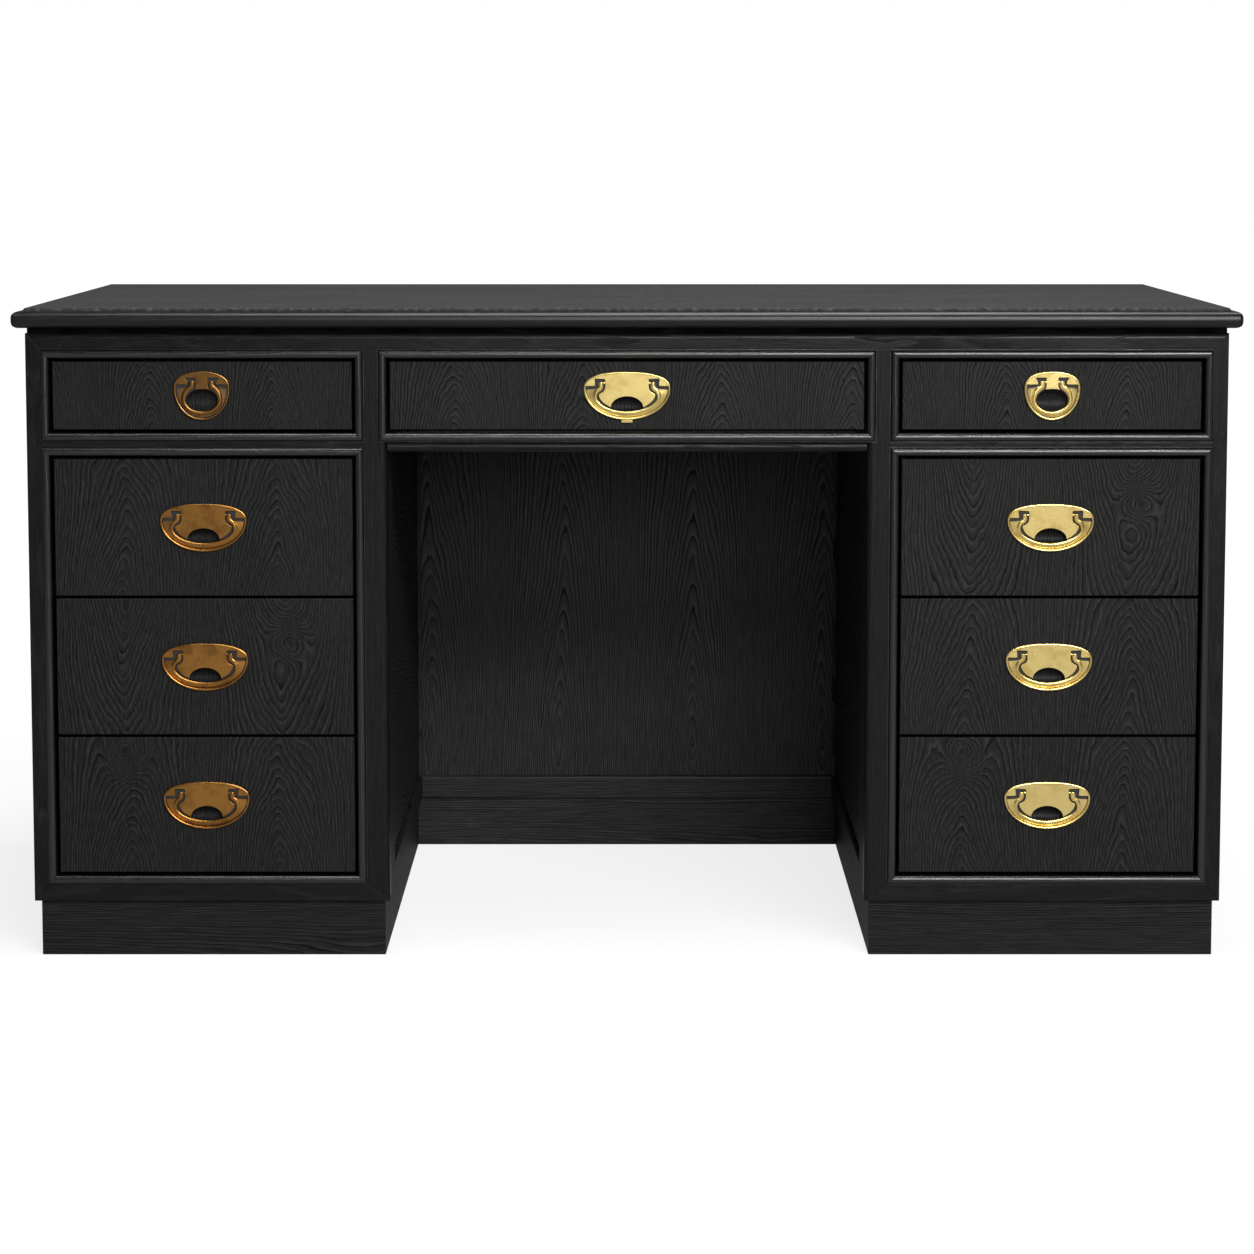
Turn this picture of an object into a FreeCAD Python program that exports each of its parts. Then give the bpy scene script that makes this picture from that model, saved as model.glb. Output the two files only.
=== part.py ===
import FreeCAD, Part
import math
import os

os.makedirs("parts", exist_ok=True)

# A kneehole desk with two pedestals, nine drawers and drop-bail pulls, in millimetres.
# X runs to the right, the front faces -Y and Z is up. The origin is on the floor, under the top's middle.

# Overall size
overall_width = 1420
overall_depth = 660
overall_height = 762
kneehole_width = 556

# Top: a veneered panel in mitred lippings, on a frame that leaves a shadow line above the case
top_panel_thickness = 23
lipping_width = 14
lipping_height = 19.5
lipping_tongue_reach = 5
lipping_tongue_height = 6
top_overhang = 15
shadow_gap = 6
spacer_inset = 2
spacer_width = 40

# Face frame, with a half-round bead frame planted in each bay
face_thickness = 20
frieze_height = 18.5
frieze_arris = 3
outer_stile_width = 16
inner_stile_flat = 15
kneehole_arris = 7
bottom_rail_height = 19.5
mid_rail_height = 5
apron_height = 11.5
bead_width = 11
bead_proud = 5
nose_sides = 12
apron_arris = 2.5
mitre_overrun = 3

# Frame-and-panel sides, back panels and inner boards
side_thickness = 22
side_stile_width = 60
outer_top_rail = 70
panel_thickness = 10
panel_recess = 5
panel_groove = 8
back_panel_thickness = 6
back_rebate = 8
floor_board_thickness = 16
housing_depth = 4
modesty_thickness = 22
modesty_top_rail = 73
rail_arris = 5

# Plinths
plinth_height = 66
plinth_inset = 7
kneehole_plinth_inset = 6
plinth_thickness = 18
corner_block_leg = 36
corner_block_rise = 6

# Drawers
drawer_gap = 3.5
top_front_height = 79
lower_drawer_count = 3
front_thickness = 20
front_setback = 1
front_arris = 0.8
box_inset = 3
box_foot = 8
box_headroom = 14
box_side_thickness = 12
box_back_thickness = 12
box_back_inset = 6
box_back_housing = 3
box_bottom_thickness = 6
box_bottom_rise = 8
box_bottom_groove = 6
box_rear_clearance = 14
dovetail_lap = 6
dovetail_pitch = 34
dovetail_slope_share = 1 / 6
dovetail_base_share = 0.55
runner_height = 12
runner_reach = 5.5
runner_groove_depth = 6
running_gap = 0.3
stop_gap = 0.5

# Pulls: a cast plate that lies on the drawer front, with a bail that hangs in its recess
pull_height_above_front = 4
pull_web = 0.8
pull_rim = 2.5
bail_edge_gap = 0.6
bail_thickness = 3.1
bail_back_gap = 0.35
pivot_radius = 1
pivot_clearance = 0.05
pivot_end_gap = 0.3
pivot_socket_depth = 3
pivot_sides = 12
knuckle_radius = 1.1
knuckle_chamfer = 0.7
finger_dish_depth = 9
finger_dish_margin = 1
half_outline_sides = 16
tab_half_width = 6.8
tab_drop = 3.5
tab_thickness = 2.4

# Each kind of pull has its width and height. Its places are shares of half the width, across,
# and of the height, down from the top.
wide_pull = {
    "width": 100.6,
    "height": 55.8,
    "waist_share": 0.337,
    "pocket_top_shares": [(0.509, 0.143), (0.7435, 0.143), (0.734, 0.245)],
    "shoulder_line_share": 0.296,
    "pivot_share": 0.233,
    "knuckle_shares": (0.535, 0.684),
    "neck_outer_shares": [(0.664, 0.314), (0.746, 0.362)],
    "neck_inner_shares": [(0.549, 0.385), (0.66, 0.439)],
    "bail_inner_arc": {"centre_share": 0.43, "half_width_share": 0.72, "bottom_share": 0.842, "from": 15},
    "land_edge_shares": [(0.509, 0.385), (0.567, 0.448), (0.642, 0.493)],
    "land_arc": {
        "centre_share": 0.43,
        "half_width_share": 0.66,
        "bottom_share": 0.815,
        "from": 15,
        "to": 55.5,
    },
    "opening_shares": {
        "half_width": 0.374,
        "top": 0.509,
        "level": 0.749,
        "foot": 0.885,
        "foot_half_width": 0.33,
    },
}
small_pull = {
    "width": 64.8,
    "height": 56.7,
    "waist_share": 0.344,
    "pocket_top_shares": [(0.2, 0.123), (0.608, 0.123), (0.509, 0.222)],
    "shoulder_line_share": 0.268,
    "pivot_share": 0.215,
    "knuckle_shares": (0.253, 0.463),
    "neck_outer_shares": [(0.451, 0.305), (0.54, 0.344)],
    "neck_inner_shares": [(0.253, 0.335)],
    "bail_inner_arc": {"centre_share": 0.577, "half_width_share": 0.58, "bottom_share": 0.799, "from": -56},
    "land_edge_shares": [(0.2, 0.353)],
    "land_arc": None,
    "opening_shares": {
        "half_width": 0.562,
        "top": 0.358,
        "level": 0.6,
        "foot": 0.847,
        "foot_half_width": None,
    },
}

# Places worked out from the sizes above
top_half_width = overall_width / 2
top_half_depth = overall_depth / 2
case_half_width = top_half_width - top_overhang
case_front = top_overhang - top_half_depth
case_back = -case_front
face_back = case_front + face_thickness
top_underside = overall_height - top_panel_thickness
case_top = top_underside - shadow_gap
frieze_bottom = case_top - frieze_height
lower_bay_bottom = plinth_height + bottom_rail_height
upper_bay_height = top_front_height + 2 * drawer_gap + 2 * bead_width
upper_bay_bottom = frieze_bottom - upper_bay_height
lower_bay_top = upper_bay_bottom - mid_rail_height
apron_bottom = upper_bay_bottom - apron_height
stile_inner_edge = case_half_width - outer_stile_width
kneehole_half = kneehole_width / 2
centre_bay_half = kneehole_half + bead_width
bay_inner_edge = centre_bay_half + inner_stile_flat
pedestal_inside_outer = case_half_width - side_thickness
pedestal_inside_inner = kneehole_half + side_thickness
panel_rail_top = lower_bay_bottom + bead_width
plinth_back = case_back - plinth_inset
modesty_front = plinth_back - plinth_thickness - kneehole_plinth_inset
back_panel_front = case_back - back_panel_thickness
box_back_end = modesty_front - box_rear_clearance
front_face = case_front + front_setback
front_back = front_face + front_thickness
bail_back = pull_web + bail_back_gap
pivot_rise = bail_back + knuckle_radius


def point(x, y, z):
    return FreeCAD.Vector(x, y, z)


def board(x_span, y_span, z_span):
    size = [abs(span[1] - span[0]) for span in (x_span, y_span, z_span)]
    return Part.makeBox(*size, point(min(x_span), min(y_span), min(z_span)))


def prism(corners, travel):
    return Part.Face(Part.makePolygon([*corners, corners[0]])).extrude(travel)


def mirrored(shapes):
    return [shape.mirror(point(0, 0, 0), point(1, 0, 0)) for shape in shapes]


def cut_from(shapes, cutters):
    return [shape.cut(cutters) for shape in shapes]


def edges_where(shape, chosen):
    # the edges whose two ends both pass the test
    return [edge for edge in shape.Edges if all(chosen(vertex.Point) for vertex in edge.Vertexes)]


def rounded(shape, radius, chosen):
    edges = edges_where(shape, chosen)
    return shape.makeFillet(radius, edges) if edges else shape


def level(value, target):
    return math.isclose(value, target, abs_tol=running_gap / 10)


def export(name, shapes):
    shape = shapes[0] if len(shapes) == 1 else Part.makeCompound(shapes)
    shape.exportStep("parts/" + name + ".step")


def mitred_corners(u_span, v_span, width):
    # the four trapezoids of a frame in its own plane: bottom, right, top and left
    outer = [
        (u_span[0], v_span[0]),
        (u_span[1], v_span[0]),
        (u_span[1], v_span[1]),
        (u_span[0], v_span[1]),
    ]
    inner = [
        (u_span[0] + width, v_span[0] + width),
        (u_span[1] - width, v_span[0] + width),
        (u_span[1] - width, v_span[1] - width),
        (u_span[0] + width, v_span[1] - width),
    ]
    trapezoids = []
    for side in range(4):
        after = (side + 1) % 4
        trapezoids.append([outer[side], outer[after], inner[after], inner[side]])
    return trapezoids


def flat_ring(x_span, y_span, z_span, width):
    # mitred boards that stand or lie round a rectangle
    height = point(0, 0, z_span[1] - z_span[0])
    rings = mitred_corners(x_span, y_span, width)
    return [prism([point(x, y, z_span[0]) for x, y in corners], height) for corners in rings]


def nosed_bar(start, along, across, outward, length, width, reach):
    # a bar with a half-round nose; its back edge runs across from start, and its tip lies reach outward
    radius = width / 2
    nose_centre = start + across * radius + outward * (reach - radius)
    section = [start + across * width, start]
    for side in range(nose_sides + 1):
        turn = math.pi * side / nose_sides
        section.append(nose_centre + outward * radius * math.sin(turn) - across * radius * math.cos(turn))
    return prism(section, along * length)


def bead_frame(x_span, z_span):
    # four mitred strips, square inside the case and half round where they stand proud of it
    tip = case_front - bead_proud
    depth = face_back - tip
    width = x_span[1] - x_span[0]
    height = z_span[1] - z_span[0]
    ahead = point(0, -1, 0)
    right = point(1, 0, 0)
    up = point(0, 0, 1)
    corner = point(x_span[0], face_back, z_span[0])
    lying = nosed_bar(corner, right, up, ahead, width, bead_width, depth)
    standing = nosed_bar(corner, up, right, ahead, height, bead_width, depth)
    bars = [
        lying,
        standing.translated(point(width - bead_width, 0, 0)),
        lying.translated(point(0, 0, height - bead_width)),
        standing,
    ]
    strips = []
    for bar, corners in zip(bars, mitred_corners(x_span, z_span, bead_width)):
        blank = [point(x, tip - mitre_overrun, z) for x, z in corners]
        strips.append(bar.common(prism(blank, point(0, depth + mitre_overrun, 0))))
    return strips


def make_top():
    field_half_width = top_half_width - lipping_width
    field_half_depth = top_half_depth - lipping_width
    tongue_low = top_underside + (lipping_height - lipping_tongue_height) / 2
    tongue_span = (tongue_low, tongue_low + lipping_tongue_height)

    def field(z_span, inset):
        half_width = field_half_width - inset
        half_depth = field_half_depth - inset
        return board((-half_width, half_width), (-half_depth, half_depth), z_span)

    groove = field(tongue_span, 0).cut(field(tongue_span, lipping_tongue_reach))
    panel = field((top_underside, overall_height), 0).cut(groove)

    # each lipping is a nosed bar with a tongue, cut to its mitres by a blank that reaches past its nose
    lippings = []
    blank_half_width = top_half_width + mitre_overrun
    blank_half_depth = top_half_depth + mitre_overrun
    blanks = mitred_corners(
        (-blank_half_width, blank_half_width),
        (-blank_half_depth, blank_half_depth),
        mitre_overrun + lipping_width + lipping_tongue_reach,
    )
    outwards = [point(0, -1, 0), point(1, 0, 0), point(0, 1, 0), point(-1, 0, 0)]
    for outward, corners in zip(outwards, blanks):
        along = point(abs(outward.y), abs(outward.x), 0)
        edge = point(outward.x * field_half_width, outward.y * field_half_depth, top_underside)
        reach = point(along.x * top_half_width, along.y * top_half_depth, 0)
        nose = nosed_bar(
            edge - reach, along, point(0, 0, 1), outward, 2 * reach.Length, lipping_height, lipping_width
        )
        tongue_start = edge - reach - outward * lipping_tongue_reach
        tongue_start.z = tongue_low
        tongue_section = [
            tongue_start,
            tongue_start + outward * lipping_tongue_reach,
            tongue_start + outward * lipping_tongue_reach + point(0, 0, lipping_tongue_height),
            tongue_start + point(0, 0, lipping_tongue_height),
        ]
        tongue = prism(tongue_section, along * (2 * reach.Length))
        blank = prism([point(x, y, top_underside) for x, y in corners], point(0, 0, lipping_height))
        lippings.append(nose.fuse(tongue).removeSplitter().common(blank))

    spacer_half_width = case_half_width - spacer_inset
    spacer_back = case_back - spacer_inset
    spacer = flat_ring(
        (-spacer_half_width, spacer_half_width),
        (-spacer_back, spacer_back),
        (case_top, top_underside),
        spacer_width,
    )
    export("top_panel", [panel])
    export("top_edge_lippings", lippings)
    export("top_spacer_frame", spacer)


def face_member(corners):
    return prism([point(x, case_front, z) for x, z in corners], point(0, face_thickness, 0))


def make_face_frame():
    # the left half's stiles and rails, mitred at the case's corners, then their mirror images
    outer_stile = face_member(
        [
            (-case_half_width, plinth_height),
            (-stile_inner_edge, lower_bay_bottom),
            (-stile_inner_edge, frieze_bottom),
            (-case_half_width, case_top),
        ]
    )
    inner_stile = face_member(
        [
            (-kneehole_half, plinth_height),
            (-kneehole_half, upper_bay_bottom),
            (-centre_bay_half, upper_bay_bottom),
            (-centre_bay_half, frieze_bottom),
            (-bay_inner_edge, frieze_bottom),
            (-bay_inner_edge, lower_bay_bottom),
        ]
    )
    inner_stile = rounded(
        inner_stile,
        kneehole_arris,
        lambda p: level(p.x, -kneehole_half) and level(p.y, case_front),
    )
    bottom_rail = face_member(
        [
            (-case_half_width, plinth_height),
            (-kneehole_half, plinth_height),
            (-bay_inner_edge, lower_bay_bottom),
            (-stile_inner_edge, lower_bay_bottom),
        ]
    )
    mid_rail = board(
        (-stile_inner_edge, -bay_inner_edge), (case_front, face_back), (lower_bay_top, upper_bay_bottom)
    )
    frieze = face_member(
        [
            (-case_half_width, case_top),
            (-stile_inner_edge, frieze_bottom),
            (stile_inner_edge, frieze_bottom),
            (case_half_width, case_top),
        ]
    )
    frieze = rounded(frieze, frieze_arris, lambda p: level(p.z, case_top) and level(p.y, case_front))
    apron_z = (apron_bottom, upper_bay_bottom)
    apron = board((-kneehole_half, kneehole_half), (case_front, face_back), apron_z)
    apron = rounded(apron, apron_arris, lambda p: level(p.z, apron_bottom) and level(p.y, case_front))
    export("face_stiles", [outer_stile, inner_stile, *mirrored([outer_stile, inner_stile])])
    export("face_rails", [frieze, apron, bottom_rail, mid_rail, *mirrored([bottom_rail, mid_rail])])

    bay = (-stile_inner_edge, -bay_inner_edge)
    left_beads = bead_frame(bay, (lower_bay_bottom, lower_bay_top))
    left_beads += bead_frame(bay, (upper_bay_bottom, frieze_bottom))
    export("left_bead_mouldings", left_beads)
    export("right_bead_mouldings", mirrored(left_beads))
    export(
        "center_bead_mouldings",
        bead_frame((-centre_bay_half, centre_bay_half), (upper_bay_bottom, frieze_bottom)),
    )


def dust_board():
    # the board between the upper drawer and the lower ones, housed in both sides
    return board(
        (-pedestal_inside_outer - housing_depth, -pedestal_inside_inner + housing_depth),
        (face_back, back_panel_front),
        (lower_bay_top, upper_bay_bottom),
    )


def pedestal_back_panel():
    return board(
        (-pedestal_inside_outer - back_rebate, -pedestal_inside_inner + back_rebate),
        (back_panel_front, case_back),
        (plinth_height, case_top),
    )


def side_frame(face, inward, top_rail, back_stile_width, cutters):
    # two stiles, two rails with stub tenons and a recessed panel; inward is 1 or -1, from the outer plane
    back = face + inward * side_thickness
    groove_start = face + inward * panel_recess
    groove = (groove_start, groove_start + inward * panel_thickness)
    front_stile = (face_back, face_back + side_stile_width)
    back_stile = (case_back - back_stile_width, case_back)
    opening = (front_stile[1], back_stile[0])
    panel_y = (opening[0] - panel_groove, opening[1] + panel_groove)
    rail_bottom = case_top - top_rail
    full_height = (plinth_height, case_top)
    panel = board(groove, panel_y, (panel_rail_top - panel_groove, rail_bottom + panel_groove))
    groove_core = board(groove, panel_y, full_height)
    stiles = [board((face, back), span, full_height).cut(groove_core) for span in (front_stile, back_stile)]
    rails = []
    for z_span in ((plinth_height, panel_rail_top), (rail_bottom, case_top)):
        rail = board((face, back), opening, z_span)
        rail = rounded(rail, rail_arris, lambda p: level(p.z, panel_rail_top) and level(p.x, face))
        tenons = board(groove, panel_y, z_span)
        rails.append(rail.fuse(tenons).removeSplitter().cut(panel))
    return [*cut_from([*stiles, *rails], cutters), panel]


def make_case():
    dust = dust_board()
    back_panel = pedestal_back_panel()
    floor_board = board(
        (-pedestal_inside_outer, -pedestal_inside_inner),
        (face_back, back_panel_front),
        (plinth_height, plinth_height + floor_board_thickness),
    )
    modesty_top = case_top - modesty_top_rail
    modesty_panel_front = modesty_front + panel_recess
    modesty_panel = board(
        (-kneehole_half - housing_depth, kneehole_half + housing_depth),
        (modesty_panel_front, modesty_panel_front + panel_thickness),
        (panel_rail_top - panel_groove, modesty_top + panel_groove),
    )
    rails = []
    rail_y = (modesty_front, modesty_front + modesty_thickness)
    for z_span in ((plinth_height, panel_rail_top), (modesty_top, case_top)):
        rail = board((-kneehole_half, kneehole_half), rail_y, z_span)
        rail = rounded(rail, rail_arris, lambda p: level(p.z, panel_rail_top) and level(p.y, modesty_front))
        rails.append(rail.cut(modesty_panel))

    outer = side_frame(-case_half_width, 1, outer_top_rail, side_stile_width, [dust, back_panel])
    # on the kneehole's sides the panel runs back to the modesty panel, and a post stands behind that
    inner_rail = case_top - apron_bottom
    post_width = case_back - modesty_front
    inner = side_frame(-kneehole_half, -1, inner_rail, post_width, [dust, back_panel, modesty_panel])
    export("left_outer_side", outer)
    export("left_kneehole_side", inner)
    export("right_kneehole_side", mirrored(inner))
    export("right_outer_side", mirrored(outer))
    export("modesty_panel", [modesty_panel])
    export("modesty_rails", rails)
    export("pedestal_back_panels", [back_panel, *mirrored([back_panel])])
    export("pedestal_floor_boards", [floor_board, *mirrored([floor_board])])
    export("dust_boards", [dust, *mirrored([dust])])


def make_plinths():
    outer = -case_half_width + plinth_inset
    inner = -kneehole_half - kneehole_plinth_inset
    front = case_front + plinth_inset
    ring = flat_ring((outer, inner), (front, plinth_back), (0, plinth_height), plinth_thickness)
    rear = board((inner, -inner), (plinth_back - plinth_thickness, plinth_back), (0, plinth_height))
    blocks = []
    for x, x_way in ((outer + plinth_thickness, 1), (inner - plinth_thickness, -1)):
        for y, y_way in ((front + plinth_thickness, 1), (plinth_back - plinth_thickness, -1)):
            corners = [
                point(x, y, corner_block_rise),
                point(x + x_way * corner_block_leg, y, corner_block_rise),
                point(x, y + y_way * corner_block_leg, corner_block_rise),
            ]
            blocks.append(prism(corners, point(0, 0, plinth_height - corner_block_rise)))
    export("left_plinth", ring)
    export("right_plinth", mirrored(ring))
    export("rear_plinth", [rear])
    export("plinth_corner_blocks", [*blocks, *mirrored(blocks)])


def runner_height_span(front_bottom, front_height):
    # runners sit at half the height of the drawer's sides
    box_low = front_bottom + box_foot
    box_height = front_height - box_foot - box_headroom
    low = box_low + (box_height - runner_height) / 2
    return (low, low + runner_height)


def make_drawer_box(middle, width, front_bottom, front_height):
    # the front, and the dovetailed box behind it
    box_low = front_bottom + box_foot
    box_high = front_bottom + front_height - box_headroom
    half_width = width / 2
    box_half = half_width - box_inset
    inside_half = box_half - box_side_thickness
    tail_reach = front_thickness - dovetail_lap
    tail_count = max(2, round((box_high - box_low) / dovetail_pitch))
    pitch = (box_high - box_low) / tail_count
    flare = tail_reach * dovetail_slope_share

    # outline of a side board, with its tails at the front end
    outline = [(box_back_end, box_low), (front_back, box_low)]
    for tail in range(tail_count):
        centre = box_low + pitch * (tail + 1 / 2)
        half_base = pitch * dovetail_base_share / 2
        outline.append((front_back, centre - half_base))
        outline.append((front_back - tail_reach, centre - half_base - flare))
        outline.append((front_back - tail_reach, centre + half_base + flare))
        outline.append((front_back, centre + half_base))
    outline += [(front_back, box_high), (box_back_end, box_high)]

    bottom_low = box_low + box_bottom_rise
    bottom_high = bottom_low + box_bottom_thickness
    bottom_half = inside_half + box_bottom_groove
    bottom = board(
        (-bottom_half, bottom_half),
        (front_back - box_bottom_groove, box_back_end),
        (bottom_low, bottom_high),
    )
    back_high = box_back_end - box_back_inset
    back = board(
        (-inside_half - box_back_housing, inside_half + box_back_housing),
        (back_high - box_back_thickness, back_high),
        (bottom_high, box_high),
    )
    runner_low, runner_high = runner_height_span(front_bottom, front_height)
    groove = board(
        (-box_half, -box_half + runner_groove_depth),
        (front_back, box_back_end),
        (runner_low - running_gap, runner_high + running_gap),
    )
    blank = prism([point(-box_half, y, z) for y, z in outline], point(box_side_thickness, 0, 0))
    side = blank.cut([groove, bottom, back])
    sides = [side, *mirrored([side])]
    front = board(
        (-half_width, half_width), (front_face, front_back), (front_bottom, front_bottom + front_height)
    )
    front = front.makeChamfer(front_arris, edges_where(front, lambda p: level(p.y, front_face)))
    front = front.cut([blank, *mirrored([blank]), bottom])
    place = point(middle, 0, 0)
    return front.translated(place), [piece.translated(place) for piece in (*sides, back, bottom)]


def ellipse_run(centre, half_width, half_height, start, end, sides):
    # points on an ellipse, by angles in degrees that start at its right and go down
    points = []
    for step in range(sides + 1):
        turn = math.radians(start + (end - start) * step / sides)
        points.append((half_width * math.cos(turn), centre + half_height * math.sin(turn)))
    return points


def both_halves(right_half):
    # the right half's points from the top down, and back up the left half
    return [*right_half, *[(-x, down) for x, down in reversed(right_half) if abs(x) > running_gap]]


def pull_plate_prism(outline, low, high):
    # outlines are (across, down) from the plate's top; heights are measured off the drawer front
    return prism([point(x, -low, -down) for x, down in outline], point(0, low - high, 0))


def scaled(kind, shares):
    return [(across * kind["width"] / 2, down * kind["height"]) for across, down in shares]


def pull_opening(kind):
    # the opening that shows the finger dish, and that runs on behind the bail's bar
    shares = kind["opening_shares"]
    half_width = shares["half_width"] * kind["width"] / 2
    middle = shares["level"] * kind["height"]
    top = shares["top"] * kind["height"]
    foot = shares["foot"] * kind["height"]
    quarter = half_outline_sides // 3
    upper = ellipse_run(middle, half_width, middle - top, -90, 0, quarter)
    if shares["foot_half_width"]:
        lower = [(shares["foot_half_width"] * kind["width"] / 2, foot)]
    else:
        lower = ellipse_run(middle, half_width, foot - middle, 0, 90, quarter)[1:]
    return both_halves([*upper, *lower])


def make_plate(kind):
    half_width = kind["width"] / 2
    height = kind["height"]
    waist = kind["waist_share"] * height
    upper = ellipse_run(waist, half_width, waist, -90, 0, half_outline_sides // 2)
    lower = ellipse_run(waist, half_width, height - waist, 0, 90, half_outline_sides // 2)
    plate = pull_plate_prism(both_halves([*upper, *lower[1:]]), 0, pull_height_above_front)

    # the recess: pockets for the knuckles, a shoulder, and a channel that follows the rim
    shoulder = kind["shoulder_line_share"] * height
    recess_half = half_width - pull_rim
    depth = height - waist - pull_rim
    rise = math.degrees(math.asin((shoulder - waist) / depth))
    channel = ellipse_run(waist, recess_half, depth, rise, 90, half_outline_sides // 2)
    pocket = scaled(kind, kind["pocket_top_shares"])
    pocket.append((pocket[-1][0], shoulder))
    outer_half = [*pocket, *channel]
    inner_half = scaled(kind, kind["land_edge_shares"])
    if kind["land_arc"]:
        arc = kind["land_arc"]
        centre = arc["centre_share"] * height
        inner_half += ellipse_run(
            centre,
            arc["half_width_share"] * half_width,
            arc["bottom_share"] * height - centre,
            arc["from"],
            arc["to"],
            half_outline_sides // 4,
        )
    inner_left = [(-x, down) for x, down in inner_half]
    recess = [*both_halves(outer_half), *inner_left, *reversed(inner_half)]
    plate = plate.cut(pull_plate_prism(recess, pull_web, pull_height_above_front))
    plate = plate.cut(pull_plate_prism(pull_opening(kind), 0, pull_height_above_front))

    # sockets for the pivots, open at the plate's back
    pivot_down = kind["pivot_share"] * height
    fit = pivot_radius + pivot_clearance
    wall = pocket[0][0]
    socket = board(
        (wall - pivot_socket_depth, wall), (-pivot_rise - fit, 0), (-pivot_down - fit, -pivot_down + fit)
    )
    return plate.cut([socket, *mirrored([socket])])


def make_bail(kind):
    # a flat bail with swan necks, whose knuckles turn on pivots in the plate's sockets
    half_width = kind["width"] / 2
    height = kind["height"]
    waist = kind["waist_share"] * height
    edge = pull_rim + bail_edge_gap
    pivot_down = kind["pivot_share"] * height
    knuckle_top = pivot_down - knuckle_radius
    knuckle = [share * half_width for share in kind["knuckle_shares"]]
    neck_outer = scaled(kind, kind["neck_outer_shares"])
    depth = height - waist - edge
    rise = math.degrees(math.asin((neck_outer[-1][1] - waist) / depth))
    outer_arc = ellipse_run(waist, half_width - edge, depth, rise, 90, half_outline_sides // 2)
    outer_half = [(knuckle[1], knuckle_top), *neck_outer, *outer_arc]
    arc = kind["bail_inner_arc"]
    centre = arc["centre_share"] * height
    inner_arc = ellipse_run(
        centre,
        arc["half_width_share"] * half_width,
        arc["bottom_share"] * height - centre,
        arc["from"],
        90,
        half_outline_sides // 2,
    )
    inner_half = [(knuckle[0], knuckle_top), *scaled(kind, kind["neck_inner_shares"]), *inner_arc]
    left_up = [(-x, down) for x, down in inner_half]
    outline = [*both_halves(outer_half), *left_up[:-1], *reversed(inner_half)]
    bail_front = bail_back + bail_thickness
    body = pull_plate_prism(outline, bail_back, bail_front)
    # behind, the knuckles are rounded about their pivots, so that they clear the plate as they turn
    body = rounded(body, knuckle_radius, lambda p: level(p.z, -knuckle_top) and level(p.y, -bail_back))
    front_edges = edges_where(body, lambda p: level(p.z, -knuckle_top) and level(p.y, -bail_front))
    body = body.makeChamfer(knuckle_chamfer, front_edges)

    pocket_wall = kind["pocket_top_shares"][0][0] * half_width
    pivot_start = pocket_wall - pivot_socket_depth + pivot_end_gap
    pivot_middle = (knuckle[0] + knuckle[1]) / 2
    rim = []
    for corner in range(pivot_sides):
        turn = 2 * math.pi * corner / pivot_sides
        y = pivot_radius * math.cos(turn) - pivot_rise
        z = pivot_radius * math.sin(turn) - pivot_down
        rim.append(point(pivot_start, y, z))
    pivot = prism(rim, point(pivot_middle - pivot_start, 0, 0))
    return body.fuse([pivot, *mirrored([pivot])]).removeSplitter()


def finger_dish(kind):
    # a scoop in the drawer front, behind the plate's opening
    shares = kind["opening_shares"]
    top = shares["top"] * kind["height"] + finger_dish_margin
    foot = shares["foot"] * kind["height"] - finger_dish_margin
    chord = foot - top
    half_length = shares["half_width"] * kind["width"] / 2 - finger_dish_margin
    radius = (chord * chord / 4 + finger_dish_depth * finger_dish_depth) / (2 * finger_dish_depth)
    axis = point(-half_length, finger_dish_depth - radius, -(top + foot) / 2)
    return Part.makeCylinder(radius, 2 * half_length, axis, point(1, 0, 0))


def make_drawer(name, middle, width, front_bottom, front_height, kind, has_tab=False):
    front, box = make_drawer_box(middle, width, front_bottom, front_height)
    top = front_bottom + (front_height + kind["height"]) / 2
    place = point(middle, front_face, top)
    plate = make_plate(kind)
    if has_tab:
        foot = -kind["height"]
        tab_span = (foot - tab_drop, foot + pull_rim)
        tab = board((-tab_half_width, tab_half_width), (-tab_thickness, 0), tab_span)
        plate = plate.fuse(tab).removeSplitter()
    export(name + "_drawer_front", [front.cut(finger_dish(kind).translated(place))])
    export(name + "_drawer_box", box)
    export(name + "_pull_plate", [plate.translated(place)])
    export(name + "_pull_bail", [make_bail(kind).translated(place)])


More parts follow.
